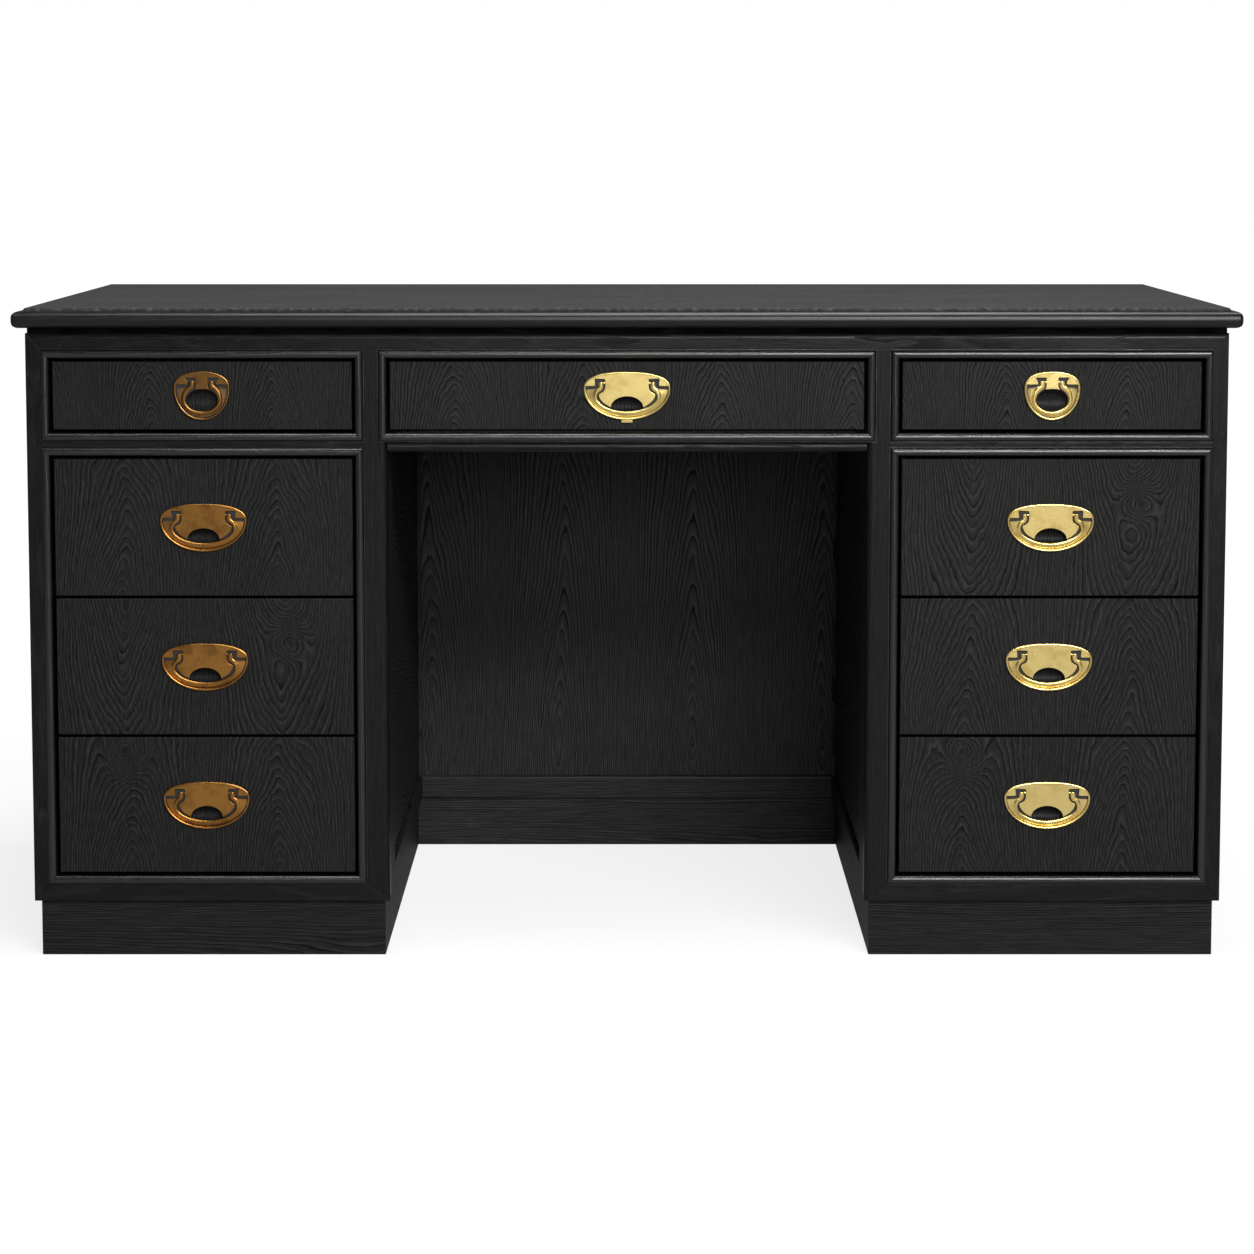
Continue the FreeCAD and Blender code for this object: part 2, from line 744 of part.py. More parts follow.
def make_drawers():
    bay_outer = stile_inner_edge - bead_width
    bay_inner = bay_inner_edge + bead_width
    side_width = bay_outer - bay_inner - 2 * drawer_gap
    side_middle = (bay_outer + bay_inner) / 2
    centre_width = kneehole_width - 2 * drawer_gap
    top_front_bottom = upper_bay_bottom + bead_width + drawer_gap
    lowest = lower_bay_bottom + bead_width + drawer_gap
    lower_opening = lower_bay_top - lower_bay_bottom - 2 * bead_width
    lower_height = (lower_opening - (lower_drawer_count + 1) * drawer_gap) / lower_drawer_count

    rows = [("top", top_front_bottom, top_front_height, small_pull)]
    for row, row_name in enumerate(("upper", "middle", "lower")):
        bottom = lowest + (lower_drawer_count - 1 - row) * (lower_height + drawer_gap)
        rows.append((row_name, bottom, lower_height, wide_pull))
    for row_name, bottom, height, kind in rows:
        make_drawer("left_" + row_name, -side_middle, side_width, bottom, height, kind)
        make_drawer("right_" + row_name, side_middle, side_width, bottom, height, kind)
    make_drawer("center", 0, centre_width, top_front_bottom, top_front_height, wide_pull, has_tab=True)

    # hardwood runners, fixed to the side frames and reaching into the drawers' grooves
    runner_y = (front_back + stop_gap, back_panel_front)
    box_half = side_width / 2 - box_inset
    runners = []
    for _, bottom, height, _ in rows:
        z_span = runner_height_span(bottom, height)
        outer_tip = -side_middle - box_half + runner_reach
        inner_tip = -side_middle + box_half - runner_reach
        runners.append(board((-pedestal_inside_outer, outer_tip), runner_y, z_span))
        runners.append(board((inner_tip, -pedestal_inside_inner), runner_y, z_span))
    export("left_drawer_runners", runners)
    export("right_drawer_runners", mirrored(runners))
    centre_tip = box_inset - centre_width / 2 + runner_reach
    centre_runner = board(
        (-kneehole_half, centre_tip),
        (front_back + stop_gap, modesty_front),
        runner_height_span(top_front_bottom, top_front_height),
    )
    export("center_drawer_runners", [centre_runner, *mirrored([centre_runner])])


make_top()
make_face_frame()
make_case()
make_plinths()
make_drawers()
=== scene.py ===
import math
import bmesh
import bpy
from mathutils import Matrix, Vector


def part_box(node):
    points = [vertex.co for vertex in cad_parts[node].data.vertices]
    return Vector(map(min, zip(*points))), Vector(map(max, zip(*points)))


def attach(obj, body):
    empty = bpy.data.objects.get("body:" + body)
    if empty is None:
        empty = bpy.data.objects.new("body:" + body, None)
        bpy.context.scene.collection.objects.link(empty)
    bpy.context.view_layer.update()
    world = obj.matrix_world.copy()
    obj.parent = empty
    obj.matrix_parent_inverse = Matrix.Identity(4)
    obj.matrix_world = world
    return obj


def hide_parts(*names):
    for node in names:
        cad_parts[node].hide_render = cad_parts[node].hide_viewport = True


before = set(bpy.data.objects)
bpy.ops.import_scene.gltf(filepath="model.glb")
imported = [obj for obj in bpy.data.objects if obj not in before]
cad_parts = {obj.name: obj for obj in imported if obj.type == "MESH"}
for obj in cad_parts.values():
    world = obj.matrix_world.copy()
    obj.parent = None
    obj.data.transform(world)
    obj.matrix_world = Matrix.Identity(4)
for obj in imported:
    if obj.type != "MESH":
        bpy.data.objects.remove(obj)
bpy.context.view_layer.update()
mm = 0.001


# Small helpers

def deselectAll():
    if bpy.context.object and bpy.context.object.mode != "OBJECT":
        bpy.ops.object.mode_set(mode="OBJECT")
    bpy.ops.object.select_all(action="DESELECT")


def takeUp(piece):
    # makes this piece the only selected one
    deselectAll()
    piece.select_set(True)
    bpy.context.view_layer.objects.active = piece


def startBlock(name, low, high):
    # a cube at its size and place, with its place kept in its mesh
    deselectAll()
    low, high = Vector(low), Vector(high)
    bpy.ops.mesh.primitive_cube_add(size=1, location=(low + high) / 2)
    piece = bpy.context.object
    piece.name = name
    piece.scale = high - low
    bpy.ops.object.transform_apply(location=True, rotation=True, scale=True)
    return piece


def pick(piece, kind, test):
    # in edit mode: selects the corners, edges or faces that pass the test
    bpy.ops.mesh.select_mode(type=kind)
    bpy.ops.mesh.select_all(action="DESELECT")
    shape = bmesh.from_edit_mesh(piece.data)
    shape.normal_update()
    for part in {"VERT": shape.verts, "EDGE": shape.edges, "FACE": shape.faces}[kind]:
        part.select_set(test(part))
    shape.select_flush(True)
    bmesh.update_edit_mesh(piece.data)


def bevelEdges(piece, test, width, segments):
    takeUp(piece)
    bpy.ops.object.mode_set(mode="EDIT")
    pick(piece, "EDGE", test)
    bpy.ops.mesh.bevel(offset=width, segments=segments, affect="EDGES")
    bpy.ops.object.mode_set(mode="OBJECT")


def cutAt(piece, place, outwards):
    # saws the piece at a plane and closes the cut; what lies outwards of it goes
    takeUp(piece)
    bpy.ops.object.mode_set(mode="EDIT")
    bpy.ops.mesh.select_all(action="SELECT")
    bpy.ops.mesh.bisect(plane_co=place, plane_no=outwards, use_fill=True, clear_outer=True)
    bpy.ops.object.mode_set(mode="OBJECT")


def easeEdges(piece, width, segments=2, angle=32):
    takeUp(piece)
    ease = piece.modifiers.new("ease", "BEVEL")
    ease.width = width
    ease.segments = segments
    ease.limit_method = "ANGLE"
    ease.angle_limit = math.radians(angle)
    bpy.ops.object.modifier_apply(modifier=ease.name)


def joinPieces(name, parts):
    deselectAll()
    for part in parts:
        part.select_set(True)
    bpy.context.view_layer.objects.active = parts[0]
    if len(parts) > 1:
        bpy.ops.object.join()
    whole = bpy.context.object
    whole.name = name
    whole.data.name = name
    return whole


def smoothShade(piece, angle=35):
    # smooth over gentle edges, with flat faces kept flat beside their rounded edges
    takeUp(piece)
    bpy.ops.object.shade_smooth_by_angle(angle=math.radians(angle))
    weighted = piece.modifiers.new("weighted", "WEIGHTED_NORMAL")
    weighted.weight = 100
    weighted.keep_sharp = True
    bpy.ops.object.modifier_apply(modifier=weighted.name)


def fitTo(piece, body, nodes, finishes):
    # puts the piece on its body, in place of its nodes, with its finish
    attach(piece, body)
    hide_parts(*nodes)
    piece.data.materials.clear()
    for finish in finishes:
        piece.data.materials.append(finish)


def spanOf(part, axis):
    places = [spot.co[axis] for spot in part.data.vertices]
    return min(places), max(places)


def boardGrain(piece, along, figureAt=None, alongScale=1):
    # gives each corner its place in the log: across the face, into the board, and along the grain
    spots = [corner.co for corner in piece.data.vertices]
    low = Vector([min(spot[axis] for spot in spots) for axis in range(3)])
    high = Vector([max(spot[axis] for spot in spots) for axis in range(3)])
    middle = (low + high) / 2
    size = high - low
    others = sorted({0, 1, 2} - {along}, key=lambda axis: size[axis])
    depth, across = others
    if figureAt is None:
        # plain boards come from the straight-grained side of a log, each from another length of it
        alongScale = 0.38
        turn = middle.x * 7.3 + middle.y * 3.1 + middle.z * 5.7
        figureAt = (0.02 * math.sin(turn * 9), 20 + 3.7 * turn)
    finer = figureAt[2] if len(figureAt) > 2 else 1
    place = piece.data.attributes.new("grainPlace", "FLOAT_VECTOR", "POINT")
    for index, spot in enumerate(spots):
        local = spot - middle
        place.data[index].vector = (
            local[across] * finer + figureAt[0],
            local[depth],
            local[along] * alongScale * finer + figureAt[1],
        )


# Nodes of the materials

def addNode(tree, kind, inputs=None, **settings):
    made = tree.nodes.new(kind)
    for name, value in settings.items():
        setattr(made, name, value)
    for name, value in (inputs or {}).items():
        if isinstance(value, bpy.types.NodeSocket):
            tree.links.new(value, made.inputs[name])
        else:
            made.inputs[name].default_value = value
    return made


def sums(tree, operation, *values, clamp=False):
    made = addNode(tree, "ShaderNodeMath", dict(enumerate(values)), operation=operation, use_clamp=clamp)
    return made.outputs[0]


def stretch(tree, place, scale):
    made = addNode(tree, "ShaderNodeVectorMath", {0: place, 1: scale}, operation="MULTIPLY")
    return made.outputs[0]


def noise(tree, place, scale=1.0, detail=2.0, rough=0.5):
    inputs = {"Vector": place, "Scale": scale, "Detail": detail, "Roughness": rough}
    return addNode(tree, "ShaderNodeTexNoise", inputs).outputs["Fac"]


def ramp(tree, value, low, high, start=0.0, end=1.0):
    inputs = {"Value": value, "From Min": low, "From Max": high, "To Min": start, "To Max": end}
    made = addNode(tree, "ShaderNodeMapRange", inputs, interpolation_type="SMOOTHSTEP")
    return made.outputs["Result"]


def mixColour(tree, share, first, second, blend="MIX"):
    made = addNode(tree, "ShaderNodeMix", data_type="RGBA", blend_type=blend)
    for socket, value in ((made.inputs[0], share), (made.inputs[6], first), (made.inputs[7], second)):
        if isinstance(value, bpy.types.NodeSocket):
            tree.links.new(value, socket)
        else:
            socket.default_value = value
    return made.outputs[2]


def startGroup(name, inputs, outputs):
    group = bpy.data.node_groups.new(name, "ShaderNodeTree")
    for label, kind, value in inputs:
        socket = group.interface.new_socket(label, in_out="INPUT", socket_type=kind)
        if value is not None:
            socket.default_value = value
    for label, kind in outputs:
        group.interface.new_socket(label, in_out="OUTPUT", socket_type=kind)
    return group, addNode(group, "NodeGroupInput"), addNode(group, "NodeGroupOutput")


# The knots of the log, across the face and along the grain. A drawer front shows the one that lies in it.
knots = [(0.097, 1.93), (-0.094, 3.364), (0.102, 4.329), (-0.098, 6.162)]
figure = {
    "halfWidth": 0.090,
    "heart": 0.005,
    "slant": 0.42,
    "turnBack": 0.20,
    "archReach": 0.085,
    "ringsPerMetre": 185,
    "crowding": 820,
    "knotSize": 0.0175,
    "knotHeight": 0.052,
}


def makeOakFigure():
    # plain-sawn oak: straight rings that crowd together between nested, pointed arches
    group, given, put = startGroup(
        "oakFigure",
        [("Place", "NodeSocketVector", None)],
        [(name, "NodeSocketFloat") for name in ("Rings", "RingHighlight", "Fibre", "Pores", "Cloud")],
    )
    place = given.outputs["Place"]
    apart = addNode(group, "ShaderNodeSeparateXYZ", {0: place}).outputs
    wander = noise(group, stretch(group, place, (3, 3, 3)), 1, 2)
    sway = noise(group, stretch(group, place, (17, 17, 9)), 1, 2)
    ripple = noise(group, stretch(group, place, (55, 55, 34)), 1, 2, 0.5)
    tremble = noise(group, stretch(group, place, (230, 230, 150)), 1, 2, 0.6)
    across = sums(group, "MULTIPLY_ADD", wander, 0.05, -0.025)
    across = sums(group, "ADD", across, apart[0])
    across = sums(group, "ADD", across, figure["halfWidth"])
    fold = sums(group, "PINGPONG", across, figure["halfWidth"])
    squares = sums(group, "MULTIPLY_ADD", fold, fold, figure["heart"] ** 2)
    radius = sums(group, "SQRT", squares)
    rise = sums(group, "PINGPONG", apart[2], figure["turnBack"])
    rise = sums(group, "SUBTRACT", rise, figure["turnBack"] / 2)
    rise = sums(group, "MULTIPLY_ADD", sway, 0.075, rise)
    near = ramp(group, fold, 0.0, figure["archReach"], 1.0, 0.06)
    slope = sums(group, "MULTIPLY", sums(group, "MULTIPLY", rise, near), figure["slant"])
    deep = sums(group, "ADD", radius, slope)
    deep = sums(group, "MULTIPLY_ADD", ripple, 0.0075, deep)
    deep = sums(group, "MULTIPLY_ADD", tremble, 0.0013, deep)
    crowd = sums(group, "MULTIPLY", squares, figure["crowding"])
    phase = sums(group, "MULTIPLY_ADD", deep, figure["ringsPerMetre"], crowd)
    core = 0.0
    for knotX, knotZ in knots:
        gap = addNode(group, "ShaderNodeVectorMath", {0: place, 1: (knotX, 0, knotZ)}, operation="SUBTRACT")
        gap = stretch(group, gap.outputs[0], (1, 0.4, 0.85))
        span = addNode(group, "ShaderNodeVectorMath", {0: gap}, operation="LENGTH").outputs["Value"]
        share = sums(group, "DIVIDE", span, figure["knotSize"])
        fall = sums(group, "POWER", math.e, sums(group, "MULTIPLY", sums(group, "POWER", share, 2), -0.8))
        phase = sums(group, "MULTIPLY_ADD", fall, figure["knotHeight"] * figure["ringsPerMetre"], phase)
        core = sums(group, "MAXIMUM", core, ramp(group, share, 0.42, 0.12))
    ring = sums(group, "FLOOR", phase)
    inRing = sums(group, "FRACT", phase)
    tone = addNode(group, "ShaderNodeTexWhiteNoise", {"W": ring}, noise_dimensions="1D").outputs["Value"]
    line = sums(group, "MULTIPLY", ramp(group, inRing, 0.62, 0.88), ramp(group, inRing, 0.94, 1.0, 1.0, 0.0))
    patchy = ramp(group, noise(group, stretch(group, place, (120, 120, 30)), 1, 2), 0.30, 0.55)
    strength = sums(group, "MULTIPLY_ADD", tone, 0.55, 0.45)
    strength = sums(group, "MULTIPLY", strength, sums(group, "MULTIPLY_ADD", patchy, 0.5, 0.5))
    rings = sums(group, "MULTIPLY", line, strength)
    rings = sums(group, "MULTIPLY_ADD", core, 0.5, rings, clamp=True)
    # a painted highlight on the pale side of each ring line, where its groove would catch the light
    ringHighlight = sums(group, "MULTIPLY", ramp(group, inRing, 0.0, 0.06), ramp(group, inRing, 0.12, 0.46, 1.0, 0.0))
    ringHighlight = sums(group, "MULTIPLY", ringHighlight, strength)
    fibre = noise(group, stretch(group, place, (620, 620, 75)), 1, 3, 0.6)
    specks = noise(group, stretch(group, place, (1000, 1000, 130)), 1, 1)
    pores = sums(
        group, "MULTIPLY", ramp(group, specks, 0.63, 0.72), sums(group, "MULTIPLY_ADD", line, 0.6, 0.4)
    )
    cloud = noise(group, stretch(group, place, (11, 11, 5)), 1, 3)
    parts = {"Rings": rings, "RingHighlight": ringHighlight, "Fibre": fibre, "Pores": pores, "Cloud": cloud}
    for name, value in parts.items():
        group.links.new(value, put.inputs[name])
    return group


def makeCastGrain():
    # cast and hand-finished metal: fine tooth, soft cloudy tarnish, a few pits, and dark patina in what lies
    # deep, which also paints shade into the grooves beside the bail
    group, given, put = startGroup(
        "castGrain",
        [("Deep", "NodeSocketFloat", -0.3153), ("High", "NodeSocketFloat", -0.3163)],
        [(name, "NodeSocketFloat") for name in ("Tooth", "Tarnish", "Pits", "DirtAndShade")],
    )
    place = addNode(group, "ShaderNodeTexCoord").outputs["Object"]
    tooth = noise(group, place, 1900, 3, 0.6)
    tarnish = noise(group, place, 62, 3, 0.55)
    pits = ramp(group, noise(group, place, 420, 2, 0.4), 0.74, 0.80)
    depth = addNode(group, "ShaderNodeSeparateXYZ", {0: place}).outputs[1]
    ragged = sums(group, "MULTIPLY_ADD", noise(group, place, 700, 2), 0.0005, -0.00025)
    depth = sums(group, "ADD", depth, ragged)
    # darker with depth off the drawer's face: patina on the recess floor, and painted shade in the grooves
    dirtAndShade = addNode(
        group,
        "ShaderNodeMapRange",
        {"Value": depth, "From Min": given.outputs["High"], "From Max": given.outputs["Deep"]},
        interpolation_type="SMOOTHSTEP",
    ).outputs["Result"]
    for name, value in (("Tooth", tooth), ("Tarnish", tarnish), ("Pits", pits), ("DirtAndShade", dirtAndShade)):
        group.links.new(value, put.inputs[name])
    return group


oakFigure = makeOakFigure()
castGrain = makeCastGrain()


def startMaterial(name):
    made = bpy.data.materials.new(name)
    made.use_nodes = True
    tree = made.node_tree
    return made, tree, tree.nodes["Principled BSDF"]


def grainFrom(tree, way):
    # the place in the log: stored in the piece, or made from the object's own axes
    if way == "stored":
        return addNode(tree, "ShaderNodeAttribute", attribute_name="grainPlace").outputs["Vector"]
    turns = {"upright": (0, 0, 0), "level": (0, math.pi / 2, 0), "deep": (math.pi / 2, 0, 0)}
    place = addNode(tree, "ShaderNodeTexCoord").outputs["Object"]
    return addNode(tree, "ShaderNodeMapping", {"Vector": place, "Rotation": turns[way]}).outputs[0]


ebonised = {
    "ground": (0.0112, 0.0111, 0.0109, 1),
    "ring": (0.0012, 0.0012, 0.0013, 1),
    "fibreDark": 0.62,
    "fibreLight": 1.45,
    "ringHighlightGain": 1.1,
    "bump": 0.8,
}
# How the finish is rubbed: the fronts satin, the mouldings and the frame glossier, the writing surface dull.
# Each tone also paints light and shade into the colour: below 1 it darkens it as painted shade, above 1 it
# lightens it as painted light or sheen.
polish = {
    "satin": {"rough": 0.44, "specular": 0.13, "tone": 1.0},
    # the beads keep their real gloss, and their colour is darkened as painted shade
    "waxedPaintedShade": {"rough": 0.25, "specular": 0.72, "tone": 0.2, "grain": 0.6},
    # the nosing's colour is darkened as painted shade
    "nosing": {"rough": 0.30, "specular": 0.36, "tone": 0.35, "grain": 0.35},
    # the kneehole's rear is lightened as painted light
    "rear": {"rough": 0.42, "specular": 0.16, "tone": 1.75},
    # the face frame's colour is darkened as painted shade
    "frame": {"rough": 0.30, "specular": 0.19, "tone": 0.45},
    # the writing surface keeps its real dull rub, and its colour is lightened as a painted sheen
    "dullPaintedSheen": {"rough": 0.60, "specular": 0.14, "tone": 3.1, "grain": 0.25},
    # the shadow gap and the parts inside the case are darkened as painted shade
    "unlit": {"rough": 0.8, "specular": 0.03, "tone": 0.25},
}


def makeEbonisedOak(name, way="stored", rub="satin"):
    made, tree, shader = startMaterial(name)
    grain = addNode(tree, "ShaderNodeGroup", node_tree=oakFigure)
    tree.links.new(grainFrom(tree, way), grain.inputs["Place"])
    names = ("Rings", "RingHighlight", "Fibre", "Pores", "Cloud")
    rings, ringHighlight, fibre, pores, cloud = [grain.outputs[part] for part in names]
    # the finish's tone scales the oak's colour: it paints shade below 1 and light above 1
    tone = polish[rub]["tone"]
    light = [channel * tone * ebonised["fibreLight"] for channel in ebonised["ground"][:3]] + [1]
    dark = [channel * tone * ebonised["fibreDark"] for channel in ebonised["ground"][:3]] + [1]
    colour = mixColour(tree, ramp(tree, fibre, 0.28, 0.72), dark, light)
    shade = sums(tree, "MULTIPLY_ADD", cloud, 0.6, 0.7)
    # the ring lines' painted highlight lightens the colour beside them
    shade = sums(tree, "MULTIPLY_ADD", ringHighlight, ebonised["ringHighlightGain"], shade)
    shades = addNode(tree, "ShaderNodeCombineXYZ", {0: shade, 1: shade, 2: shade}).outputs[0]
    colour = mixColour(tree, 1.0, colour, shades, "MULTIPLY")
    dark = sums(tree, "MULTIPLY_ADD", pores, 0.7, rings, clamp=True)
    dark = sums(tree, "MULTIPLY", dark, polish[rub].get("grain", 1.0))
    colour = mixColour(tree, dark, colour, ebonised["ring"])
    tree.links.new(colour, shader.inputs["Base Color"])
    rough = sums(tree, "MULTIPLY_ADD", fibre, 0.16, polish[rub]["rough"] - 0.08)
    rough = sums(tree, "MULTIPLY_ADD", dark, 0.38, rough)
    tree.links.new(rough, shader.inputs["Roughness"])
    height = sums(tree, "MULTIPLY_ADD", fibre, 0.40, 0.0)
    height = sums(tree, "MULTIPLY_ADD", rings, -0.75, height)
    height = sums(tree, "MULTIPLY_ADD", pores, -0.4, height)
    bump = addNode(
        tree,
        "ShaderNodeBump",
        {"Height": height, "Strength": ebonised["bump"] * polish[rub].get("grain", 1.0), "Distance": 0.0003},
    )
    tree.links.new(bump.outputs[0], shader.inputs["Normal"])
    shader.inputs["Specular IOR Level"].default_value = polish[rub]["specular"]
    return made


lining = {"ground": (0.44, 0.30, 0.17, 1), "ring": (0.27, 0.165, 0.085, 1), "rough": 0.6}


def makeDrawerLining(name, way):
    made, tree, shader = startMaterial(name)
    grain = addNode(tree, "ShaderNodeGroup", node_tree=oakFigure)
    tree.links.new(grainFrom(tree, way), grain.inputs["Place"])
    rings, fibre, pores, cloud = [grain.outputs[part] for part in ("Rings", "Fibre", "Pores", "Cloud")]
    light = [channel * 1.18 for channel in lining["ground"][:3]] + [1]
    dark = [channel * 0.8 for channel in lining["ground"][:3]] + [1]
    colour = mixColour(tree, ramp(tree, fibre, 0.25, 0.75), dark, light)
    shade = sums(tree, "MULTIPLY_ADD", cloud, 0.4, 0.8)
    shades = addNode(tree, "ShaderNodeCombineXYZ", {0: shade, 1: shade, 2: shade}).outputs[0]
    colour = mixColour(tree, 1.0, colour, shades, "MULTIPLY")
    dark = sums(tree, "MULTIPLY_ADD", pores, 0.5, rings, clamp=True)
    colour = mixColour(tree, dark, colour, lining["ring"])
    tree.links.new(colour, shader.inputs["Base Color"])
    rough = sums(tree, "MULTIPLY_ADD", fibre, 0.12, lining["rough"] - 0.06)
    tree.links.new(rough, shader.inputs["Roughness"])
    height = sums(tree, "SUBTRACT", fibre, sums(tree, "MULTIPLY", pores, 0.8))
    bump = addNode(tree, "ShaderNodeBump", {"Height": height, "Strength": 0.3, "Distance": 0.0003})
    tree.links.new(bump.outputs[0], shader.inputs["Normal"])
    shader.inputs["Specular IOR Level"].default_value = 0.4
    return made


# The pulls are of three tones: the left pedestal's are browner, the others bright.
brassTones = {
    "brightBrass": {"land": (0.92, 0.71, 0.27, 1), "tarnish": (0.74, 0.53, 0.17, 1), "rough": 0.27},
    "centreBrass": {"land": (0.82, 0.64, 0.24, 1), "tarnish": (0.66, 0.49, 0.17, 1), "rough": 0.29},
    "agedBrass": {"land": (0.43, 0.205, 0.05, 1), "tarnish": (0.27, 0.125, 0.032, 1), "rough": 0.28},
    "darkBrass": {"land": (0.31, 0.155, 0.045, 1), "tarnish": (0.20, 0.097, 0.028, 1), "rough": 0.28},
}


def makeBrass(name):
    tones = brassTones[name]
    made, tree, shader = startMaterial(name)
    grain = addNode(tree, "ShaderNodeGroup", node_tree=castGrain)
    tooth, tarnish, pits, dirtAndShade = [grain.outputs[part] for part in ("Tooth", "Tarnish", "Pits", "DirtAndShade")]
    colour = mixColour(tree, ramp(tree, tarnish, 0.42, 0.72), tones["land"], tones["tarnish"])
    # pits and deep parts go dark, dull and unmetallic: patina in the recesses and painted shade in the
    # grooves
    dark = sums(tree, "MULTIPLY_ADD", pits, 0.6, dirtAndShade, clamp=True)
    colour = mixColour(tree, dark, colour, (0.016, 0.0155, 0.014, 1))
    tree.links.new(colour, shader.inputs["Base Color"])
    tree.links.new(sums(tree, "SUBTRACT", 1.0, dirtAndShade), shader.inputs["Metallic"])
    rough = sums(tree, "MULTIPLY_ADD", tooth, 0.16, tones["rough"] - 0.08)
    rough = sums(tree, "MULTIPLY_ADD", dark, 0.35, rough)
    tree.links.new(rough, shader.inputs["Roughness"])
    height = sums(tree, "SUBTRACT", sums(tree, "MULTIPLY", tooth, 0.4), pits)
    bump = addNode(tree, "ShaderNodeBump", {"Height": height, "Strength": 0.20, "Distance": 0.00015})
    tree.links.new(bump.outputs[0], shader.inputs["Normal"])
    return made


oak = makeEbonisedOak("ebonisedOak")
# Copies of one ebonised oak. Their tones paint shade on the beads, nosing, frame, shadow gap and inside
# parts, painted light on the kneehole's rear, and a painted sheen on the writing surface.
waxedPaintedShadeOak = makeEbonisedOak("waxedMouldingPaintedShadeOak", rub="waxedPaintedShade")
dullPaintedSheenOak = makeEbonisedOak("dulledTopPaintedSheenOak", rub="dullPaintedSheen")
framePaintedShadeOak = makeEbonisedOak("faceFramePaintedShadeOak", rub="frame")
nosingPaintedShadeOak = makeEbonisedOak("topNosingPaintedShadeOak", rub="nosing")
unlitOak = makeEbonisedOak("shadowGapOak", rub="unlit")
rearPaintedLightOak = makeEbonisedOak("kneeholeRearPaintedLightOak", rub="rear")
liningDeep = makeDrawerLining("drawerLiningDeep", "stored")
brass = {name: makeBrass(name) for name in brassTones}
print("materials made")


# Oak boards that keep their CAD shape, with eased edges and their own grain

def splitBoards(piece):
    # the CAD mesh lists board after board: each one ends where its skin of triangles closes
    mesh = piece.data
    spots = [tuple(round(value * 1e6) for value in corner.co) for corner in mesh.vertices]
    boards, board, unmet = [], [], set()
    for face in mesh.polygons:
        board.append(face.index)
        corners = [spots[corner] for corner in face.vertices]
        for start, end in zip(corners, corners[1:] + corners[:1]):
            if start != end:
                unmet ^= {frozenset((start, end))}
        if not unmet:
            boards.append(board)
            board = []
    takeUp(piece)
    bpy.ops.object.mode_set(mode="EDIT")
    bpy.ops.mesh.select_mode(type="FACE")
    for board in reversed(boards[1:]):
        bpy.ops.mesh.select_all(action="DESELECT")
        shape = bmesh.from_edit_mesh(mesh)
        shape.faces.ensure_lookup_table()
        for index in board:
            shape.faces[index].select_set(True)
        bpy.ops.mesh.separate(type="SELECTED")
    bpy.ops.object.mode_set(mode="OBJECT")
    return list(bpy.context.selected_objects)


def easedBoards(
    node, body, ease, upright=False, figures=None, finish=None, shape=None, alongScale=1
):
    # a merged copy of the node, board by board, so that each gets its grain along its length
    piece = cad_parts[node].copy()
    piece.data = piece.data.copy()
    piece.name = node + "_boards"
    bpy.context.scene.collection.objects.link(piece)
    piece.parent = None
    piece.matrix_world = Matrix.Identity(4)
    takeUp(piece)
    if piece.data.has_custom_normals:
        bpy.ops.mesh.customdata_custom_splitnormals_clear()
    parts = splitBoards(piece)
    for part in parts:
        takeUp(part)
        bpy.ops.object.mode_set(mode="EDIT")
        bpy.ops.mesh.select_all(action="SELECT")
        bpy.ops.mesh.remove_doubles(threshold=0.00001)
        bpy.ops.mesh.dissolve_limited(angle_limit=math.radians(0.5))
        bpy.ops.object.mode_set(mode="OBJECT")
        if shape:
            shape(part)
        easeEdges(part, ease)
        size = [high - low for low, high in (spanOf(part, axis) for axis in range(3))]
        along = 2 if upright and size[2] > 0.05 else max(range(3), key=lambda axis: size[axis])
        boardGrain(part, along, figures, alongScale)
    whole = joinPieces(node + "_boards", parts)
    smoothShade(whole)
    fitTo(whole, body, [node], [finish or oak])
    return whole


# Rounded arrises of the case: radii of the mouldings that are worked on the boards themselves.
arris = {"ease": 0.5 * mm, "frieze": 6.5 * mm, "apron": 5.4 * mm, "rail": 2.6 * mm}
caseLow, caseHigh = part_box("face_stiles")
apronBottom = 0.595
apronTop = 0.6065


def runsAt(**places):
    # a test for edges whose two ends both lie at these places, such as y=-0.315
    axes = {"x": 0, "y": 1, "z": 2}

    def test(edge):
        ends = [corner.co for corner in edge.verts]
        return all(abs(end[axes[axis]] - value) < 1e-5 for end in ends for axis, value in places.items())

    return test


def squareCorner(part, reach, **corner):
    # takes a small rounding back to a sharp edge, so that a larger one can be worked there
    axes = {"x": 0, "y": 1, "z": 2}
    places = {axes[axis]: value for axis, value in corner.items()}
    for spot in part.data.vertices:
        if all(abs(spot.co[axis] - value) < reach for axis, value in places.items()):
            for axis, value in places.items():
                spot.co[axis] = value
    takeUp(part)
    bpy.ops.object.mode_set(mode="EDIT")
    bpy.ops.mesh.select_all(action="SELECT")
    bpy.ops.mesh.remove_doubles(threshold=0.00001)
    bpy.ops.mesh.dissolve_limited(angle_limit=math.radians(0.5))
    bpy.ops.object.mode_set(mode="OBJECT")


